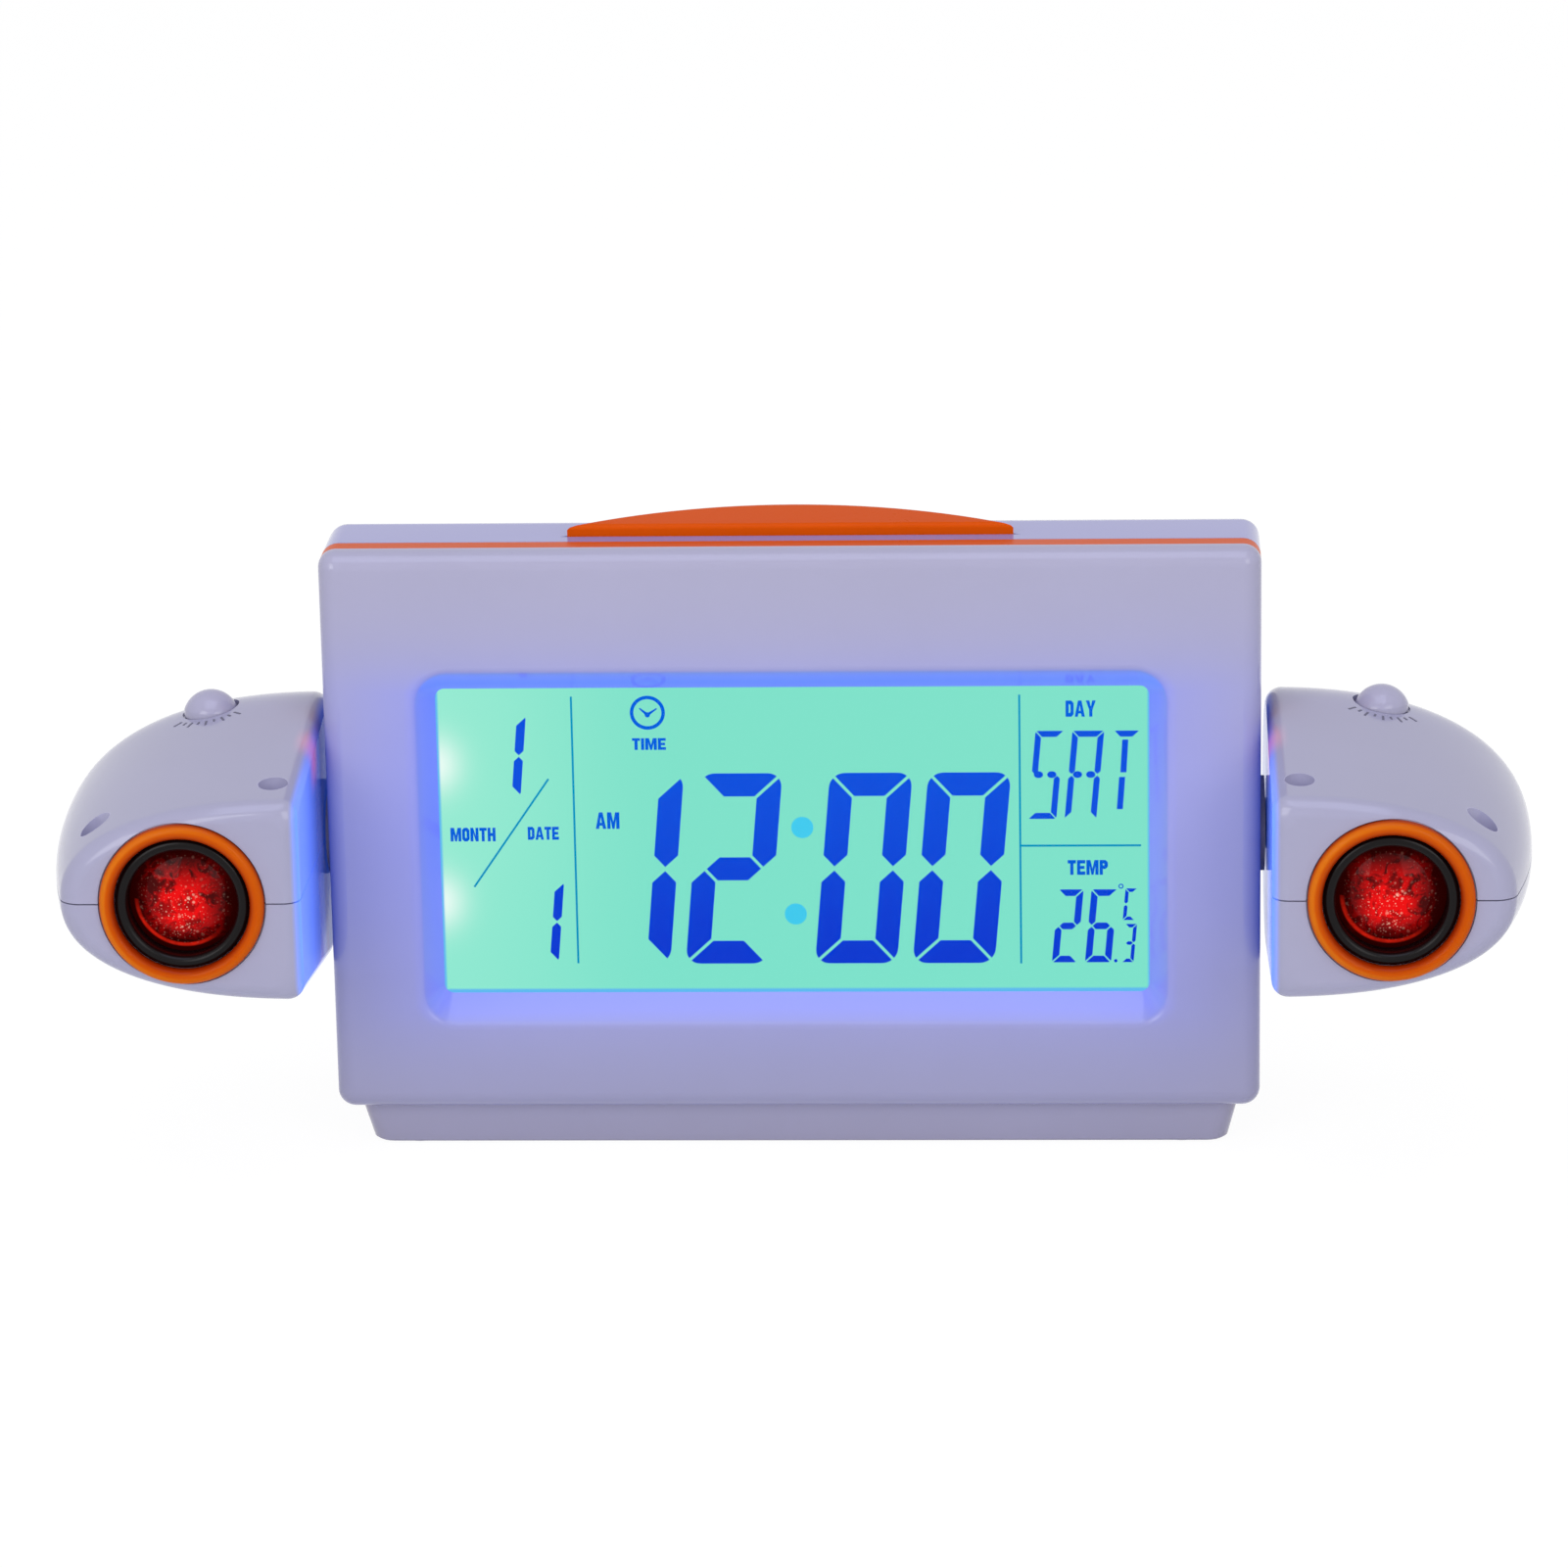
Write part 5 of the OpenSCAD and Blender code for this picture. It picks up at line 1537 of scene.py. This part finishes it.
@dataclass(frozen=True)
class Pod:
    """A projector pod beside the case; the right one is built and the left one mirrored."""

    inner: float = 74.0
    pivot_y: float = 13.0
    pivot_z: float = 50.8
    front_w: float = 36.4
    broad: float = 40.99
    bulge: float = 8.0
    front_h: float = 31.4
    round_r: float = 21.4
    reach: float = 41.0
    crown_power: float = 2.3
    tail_power: float = 2.5
    edge: float = 2.6
    wall: float = 2.0
    seam: float = 0.1
    lens_x: float = 18.0
    port: float = 10.45
    ring_w: float = 2.25
    ring_sink: float = 0.6
    ring_gap: float = 0.22
    lip_front: float = 0.2
    lip_inner: float = 8.45
    lip_outer: float = 10.35
    flange: tuple[float, float, float] = (11.85, -2.1, -3.6)
    tube: tuple[float, float, float] = (9.6, 8.0, -19.0)
    lens_seat: tuple[float, float, float] = (8.95, -3.3, -6.0)
    lens_r: float = 8.85
    lens_rim: float = 2.0
    lens_dome: float = 2.9
    hole_r: float = 2.3
    hole_seat: float = 5.0
    post_r: float = 3.8
    holes: tuple[Point, ...] = ((4.3, -33.0), (32.0, -33.0), (7.0, 13.5), (32.0, 4.0))
    knob_y: float = -1.0
    knob_r: float = 4.5
    knob_sink: float = 1.4
    strokes: int = 9
    stroke_turn: float = 12.0
    stroke_half: float = 0.17
    scale_near: float = 5.6
    scale_far: float = 7.1
    scale_step: float = 0.7
    ink: float = 0.05
    least_edge: float = 0.4
    edge_shares: Span = (0.6, 0.4)
    edge_steps: int = 8
    crown_steps: int = 32
    face_steps: int = 6
    nose_steps: int = 9
    side_steps: int = 20
    tail_steps: int = 22
    tail_turn: float = 88.0
    hollow_tail: int = 14
    port_depth: float = 12.0
    clearance: float = 1.0
    cutter: float = 30.0
    cutter_steps: int = 64
    block: float = 120.0
    lip_steps: int = 12
    dome_steps: int = 16

    def width_at(self, y: float) -> float:
        """Width of the pod.

        Args:
            y: Distance behind the pivot.

        Returns:
            The width there.
        """
        if y < -self.bulge:
            share = (-self.bulge - y) / (self.reach - self.bulge)
            return self.broad - (self.broad - self.front_w) * share ** 2
        share = min((y + self.bulge) / (self.round_r + self.bulge), 1.0)
        return self.broad * (1.0 - share ** self.tail_power) ** (1.0 / self.tail_power)

    def half_height(self, y: float, inset: float) -> float:
        """Half height of the pod.

        Args:
            y: Distance behind the pivot.
            inset: How far the form is drawn in.

        Returns:
            The half height there.
        """
        far, low = self.reach, self.front_h / 2
        span = math.hypot(far, low)
        turn = math.atan2(low, -far) - math.acos(self.round_r / span)
        touch = (self.round_r * math.cos(turn), self.round_r * math.sin(turn))
        if y < touch[0]:
            return low + (touch[1] - low) * (y + far) / (touch[0] + far) - inset
        return math.sqrt(max((self.round_r - inset) ** 2 - y * y, 0.0))

    def crown(self, x: float, wide: float, high: float) -> float:
        """Height of a section's crown."""
        return high * max(1.0 - (x / wide) ** self.crown_power, 0.0) ** (1.0 / self.crown_power)

    def section(self, y: float, inset: float, drawn: float) -> list[Vector]:
        """One section of the pod.

        Args:
            y: Distance behind the pivot.
            inset: How far the whole form is drawn in.
            drawn: How far this section is drawn in for a rounded end.

        Returns:
            Its points, in the pod's own frame.
        """
        wide = self.width_at(y) - inset - drawn
        high = self.half_height(y, inset) - drawn
        start = inset + drawn
        soft = min(self.edge, self.edge_shares[0] * high, self.edge_shares[1] * (wide - start))
        half: list[Point] = []
        for i in range(self.edge_steps):
            turn = math.radians(90.0 * i / self.edge_steps)
            x = start + soft * (1 - math.cos(turn))
            half.append((x, self.crown(x, wide, high) - soft * (1 - math.sin(turn))))
        power = 2 / self.crown_power
        last = math.acos(min(((start + soft) / wide) ** (self.crown_power / 2), 1.0))
        for i in range(self.crown_steps + 1):
            turn = last * (1 - i / self.crown_steps)
            half.append((wide * math.cos(turn) ** power, high * math.sin(turn) ** power))
        low = [(x, -z) for x, z in reversed(half[:-1])]
        flat = half[0][1]
        face = [(start, -flat + 2 * flat * i / self.face_steps) for i in range(1, self.face_steps)]
        return [Vector((x, y, z)) for x, z in half + low + face]

    def form(self, inset: float, tail: int) -> Shape:
        """The pod's closed form, drawn in by an inset.

        Args:
            inset: How far it is drawn in.
            tail: Number of sections round its back.

        Returns:
            The form, in the clock's frame.
        """
        shape, rings = Shape(), []
        front, soft = -self.reach + inset, max(self.edge - inset, self.least_edge)
        for i in range(self.nose_steps):
            turn = math.radians(90.0 * i / self.nose_steps)
            y, drawn = front + soft * (1 - math.cos(turn)), soft * (1 - math.sin(turn))
            rings.append(self.section(y, inset, drawn))
        for i in range(self.side_steps + 1):
            rings.append(self.section((front + soft) * (1 - i / self.side_steps), inset, 0.0))
        for i in range(1, tail + 1):
            turn = math.radians(self.tail_turn * i / tail)
            rings.append(self.section((self.round_r - inset) * math.sin(turn), inset, 0.0))
        loops = [shape.ring(points) for points in rings]
        shape.bridge(loops)
        shape.cap(loops[0])
        shape.cap(loops[-1])
        bmesh.ops.transform(shape.bm, matrix=self.upright(0.0, 0.0), verts=shape.bm.verts)
        return shape

    def lens_place(self, graph: Graph, spot: Value) -> tuple[Value, Value, Value]:
        """Place on a lens or its ring.

        Args:
            graph: The material's node tree.
            spot: Place on the surface in millimetres.

        Returns:
            How far to the right and how far up from the lens axis, and how far from it.
        """
        x, _, z = graph.axes(spot)
        side = x - graph.math("SIGN", x) * (self.inner + self.lens_x)
        up = z - self.pivot_z
        return side, up, (side * side + up * up) ** 0.5

    def lens_axis(self, reach: float) -> Matrix:
        """A place on the lens axis, with its upright axis to the front."""
        spot = (self.inner + self.lens_x, self.pivot_y - reach, self.pivot_z)
        return Matrix.Translation(spot) @ FACING

    def upright(self, x: float, y: float) -> Matrix:
        """A place at the pivot's height, given from the pod's inner face and its pivot."""
        return Matrix.Translation((self.inner + x, self.pivot_y + y, self.pivot_z))

    def rod(self, radius: float, low: float, high: float, place: Matrix) -> Shape:
        """A plain round cutter.

        Args:
            radius: Its radius.
            low: Where it starts along its axis.
            high: Where it ends.
            place: Where its axis stands.

        Returns:
            The cutter.
        """
        shape = Shape()
        profile = [(0.0, low), (radius, low), (radius, high), (0.0, high)]
        shape.turned(profile, place, self.cutter_steps)
        return shape

    def halves(self) -> tuple[Shape, Shape]:
        """The shells of the right pod.

        Returns:
            The upper and the lower shell.
        """
        far, ahead = self.cutter, self.lens_axis(self.reach)
        hollow = self.form(self.wall, self.hollow_tail)
        for x, y in self.holes:
            hollow = hollow.carved(self.rod(self.post_r, -far, far, self.upright(x, y)))
        whole = self.form(0.0, self.tail_steps).carved(hollow)
        whole = whole.carved(self.rod(self.port, -self.port_depth, self.clearance, ahead))
        ring_r = self.port + self.ring_w + self.ring_gap
        whole = whole.carved(self.rod(ring_r, -self.ring_sink, self.clearance, ahead))
        for x, y in self.holes:
            whole = whole.carved(self.rod(self.hole_r, self.hole_seat, far, self.upright(x, y)))
        top = self.crown(self.lens_x, self.width_at(self.knob_y), self.half_height(self.knob_y, 0.0))
        seat = self.rod(self.knob_r, top - self.knob_sink, far, self.upright(self.lens_x, self.knob_y))
        whole = whole.carved(seat)
        upper = whole.copy()
        return upper.carved(self.slab(1), Cut.INSIDE), whole.carved(self.slab(-1), Cut.INSIDE)

    def slab(self, way: int) -> Shape:
        """A block that covers one half of the pod.

        Args:
            way: 1 for the half above the seam, -1 for the half below it.

        Returns:
            The block.
        """
        shape = Shape()
        middle = self.pivot_z + way * (self.seam + self.block / 2)
        place = Matrix.Translation((self.inner + self.broad / 2, self.pivot_y, middle))
        bmesh.ops.create_cube(shape.bm, size=self.block, matrix=place)
        return shape

    def build(self) -> None:
        """Builds both pods."""
        shells = dict(zip(("upper", "lower"), self.halves()))
        for side in Side:
            for half, made in shells.items():
                names = (f"{half}_cover", f"{half}_shell")
                self.end(made.copy(), side, names, "shell_plastic", POD_PLASTIC)
            self.bezel(side)
            self.lens(side)
            self.focus_scale(side)
            smoothed(f"{side.value}_trim_ring", RING_PLASTIC)
            for part in ("focus_knob", "pod_screws"):
                smoothed(f"{side.value}_{part}")

    def end(self, shape: Shape, side: Side, names: tuple[str, ...], slot: str, finish: Finish) -> None:
        """Ends a shape as a piece of a pod, mirrored on the left.

        Args:
            shape: The shape, as on the right.
            side: Side of the clock.
            names: The piece's name and those of the solids that it stands for, without the side.
            slot: The record's material slot.
            finish: Its finish.
        """
        if side is Side.LEFT:
            shape.mirrored()
        name, *nodes = (f"{side.value}_{name}" for name in names)
        shape.piece(name, f"{side.value}_pod", slot, finish, nodes)

    def focus_scale(self, side: Side) -> None:
        """Prints an arc of short strokes on the pod's top, ahead of its knob.

        Args:
            side: Side of the clock.
        """
        shape, hub = Shape(), Vector((self.lens_x, self.knob_y))
        for i in range(self.strokes):
            turn = math.radians((i - (self.strokes - 1) / 2) * self.stroke_turn - 90.0)
            along = Vector((math.cos(turn), math.sin(turn)))
            across = Vector((-along.y, along.x)) * self.stroke_half
            near = hub + along * self.scale_near
            far = hub + along * (self.scale_far - self.scale_step * (i % 2))
            verts = []
            for x, y in (near - across, near + across, far + across, far - across):
                z = self.crown(x, self.width_at(y), self.half_height(y, 0.0)) + self.ink
                verts.append(shape.bm.verts.new((self.inner + x, self.pivot_y + y, self.pivot_z + z)))
            shape.thicken(shape.bm.faces.new(verts), (0.0, 0.0, -2 * self.ink))
        self.end(shape, side, ("focus_scale",), "black_plastic", LABEL_INK)

    def bezel(self, side: Side) -> None:
        """Builds the black barrel that holds the lens, with its rounded lip.

        Args:
            side: Side of the clock.
        """
        soft = (self.lip_outer - self.lip_inner) / 2
        centre = (self.lip_inner + soft, self.lip_front - soft)
        seat_r, seat_top, seat_low = self.lens_seat
        tube_r, stop_r, tail = self.tube
        flange_r, flange_top, flange_low = self.flange
        profile = arc(centre, soft, 180.0, 0.0, self.lip_steps)
        profile += [(self.lip_outer, flange_top), (flange_r, flange_top), (flange_r, flange_low)]
        profile += [(tube_r, flange_low), (tube_r, tail), (stop_r, tail), (stop_r, seat_low)]
        profile += [(seat_r, seat_low), (seat_r, seat_top), (self.lip_inner, seat_top), profile[0]]
        self.turned_piece(profile, side, ("bezel", "lens_barrel"), "black_plastic")

    def lens(self, side: Side) -> None:
        """Builds the domed lens.

        Args:
            side: Side of the clock.
        """
        high, wide, low = self.lens_dome, self.lens_r, self.lens_seat[2]
        ball = (wide * wide + high * high) / (2 * high)
        rim = low + self.lens_rim
        reach = math.degrees(math.asin(wide / ball))
        dome = arc((0.0, rim + high - ball), ball, 90.0 - reach, 90.0, self.dome_steps)
        profile = [(0.0, low), (wide, low)] + dome[:-1] + [(0.0, rim + high)]
        self.turned_piece(profile, side, ("dome", "lens"), "lens_plastic")

    def turned_piece(
        self, profile: Sequence[Point], side: Side, names: tuple[str, str], slot: str
    ) -> None:
        """Turns a profile about the lens axis into a piece.

        Args:
            profile: Radius and height of each point, from the pod's front plane.
            side: Side of the clock.
            names: The piece's name and that of the solid that it stands for, without the side.
            slot: The record's material slot.
        """
        shape = Shape()
        shape.turned(profile, self.lens_axis(self.reach))
        self.end(shape, side, names, slot, SLOTS[slot])


@dataclass(frozen=True)
class Lamp:
    """A square soft lamp that looks at the clock; its level is that of a white surface facing it."""

    name: str
    spot: Triple
    size: float
    level: float
    colour: Triple = (1.0, 1.0, 1.0)
    target: Triple = (0.0, 0.0, 0.05)

    def hang(self) -> None:
        """Hangs the lamp."""
        light = bpy.data.lights.new(self.name, "AREA")
        away = Vector(self.spot) - Vector(self.target)
        light.size, light.color = self.size, self.colour
        light.energy = self.level * math.pi ** 2 * away.length_squared
        made = bpy.data.objects.new(self.name, light)
        turn = away.to_track_quat("Z", "Y").to_matrix().to_4x4()
        made.matrix_world = Matrix.Translation(self.spot) @ turn
        bpy.context.collection.objects.link(made)


@dataclass(frozen=True)
class Studio:
    """Plain floor, soft light and the camera."""

    spot: Triple = (0.04880, -0.95499, 0.34278)
    yaw: float = 3.013
    pitch: float = 16.516
    roll: float = -1.076
    lens: float = 146.07
    sensor: float = 36.0
    ambient: float = 0.5
    floor_size: float = 5.0
    floor_parts: int = 8
    floor_colour: Colour = (0.92, 0.92, 0.92, 1.0)
    floor_white: float = 1.05
    floor_shown: float = 0.9
    lamps: tuple[Lamp, ...] = (
        Lamp("overhead", (0.0, -0.5, 1.4), 1.0, 0.225, (0.88, 0.92, 1.28)),
        Lamp("left_key", (-0.5, -0.8, 0.45), 0.5, 0.22),
        Lamp("right_key", (0.55, -0.8, 0.45), 0.5, 0.17),
    )

    def seen(self, graph: Graph) -> Value:
        """Whether a ray shows the background itself, straight or in gloss or glass.

        Args:
            graph: The node tree of the background.

        Returns:
            1 where it does, or else 0.
        """
        camera = graph.node("ShaderNodeLightPath", out="Is Camera Ray")
        shown = camera + camera.output("Is Glossy Ray") + camera.output("Is Transmission Ray")
        return shown.below(1.0)

    def floor(self) -> None:
        """Lays the floor."""
        bm, parts = bmesh.new(), self.floor_parts
        bmesh.ops.create_grid(bm, x_segments=parts, y_segments=parts, size=self.floor_size)
        mesh = bpy.data.meshes.new("floor")
        bm.to_mesh(mesh)
        bm.free()
        made = bpy.data.objects.new("floor", mesh)
        bpy.context.collection.objects.link(made)
        paint = bpy.data.materials.new("floor_paint")
        paint.use_nodes = True
        graph = Graph(paint.node_tree)
        diffuse = graph.node("ShaderNodeBsdfDiffuse", None, {"Color": self.floor_colour})
        white = graph.node("ShaderNodeEmission", None, {"Color": WHITE, "Strength": self.floor_white})
        share = self.seen(graph) * self.floor_shown
        mixed = graph.node("ShaderNodeMixShader", None, {0: share, 1: diffuse, 2: white})
        graph.node("ShaderNodeOutputMaterial", None, {"Surface": mixed})
        mesh.materials.append(paint)

    def sky(self) -> None:
        """Sets the soft light all round."""
        world = bpy.data.worlds.new("studio")
        world.use_nodes = True
        bpy.context.scene.world = world
        graph = Graph(world.node_tree)
        soft = graph.node("ShaderNodeBackground", None, {"Color": WHITE, "Strength": self.ambient})
        white = graph.node("ShaderNodeBackground", None, {"Color": WHITE, "Strength": 1.0})
        mixed = graph.node("ShaderNodeMixShader", None, {0: self.seen(graph), 1: soft, 2: white})
        graph.node("ShaderNodeOutputWorld", None, {"Surface": mixed})

    def camera(self) -> None:
        """Sets the camera where the picture was taken from."""
        yaw, pitch, roll = (math.radians(turn) for turn in (self.yaw, self.pitch, self.roll))
        level = math.cos(pitch)
        ahead = Vector((-math.sin(yaw) * level, math.cos(yaw) * level, -math.sin(pitch)))
        right = Vector((math.cos(yaw), math.sin(yaw), 0.0))
        up = right.cross(ahead)
        across = right * math.cos(roll) + up * math.sin(roll)
        upward = up * math.cos(roll) - right * math.sin(roll)
        turn = Matrix((across, upward, -ahead)).transposed().to_4x4()
        data = bpy.data.cameras.new("camera")
        data.lens, data.sensor_width, data.sensor_fit = self.lens, self.sensor, "HORIZONTAL"
        made = bpy.data.objects.new("camera", data)
        made.matrix_world = Matrix.Translation(self.spot) @ turn
        bpy.context.collection.objects.link(made)
        bpy.context.scene.camera = made

    def build(self) -> None:
        """Sets up floor, light and camera."""
        bpy.context.scene.view_settings.view_transform = "Standard"
        self.floor()
        self.sky()
        for lamp in self.lamps:
            lamp.hang()
        self.camera()


def finish_the_rest() -> None:
    """Gives every solid that still shows the finish of its slot."""
    for node, made in frame["nodes"].items():
        made.data.materials.clear()
        made.data.materials.append(SLOTS[slot_of(node)].material())


def main() -> None:
    """Builds the clock and its studio."""
    logging.basicConfig(level=logging.INFO, format="%(message)s")
    Studio().build()
    finish_the_rest()
    Case().build()
    Display().build()
    Pod().build()


if __name__ == "__main__":
    main()
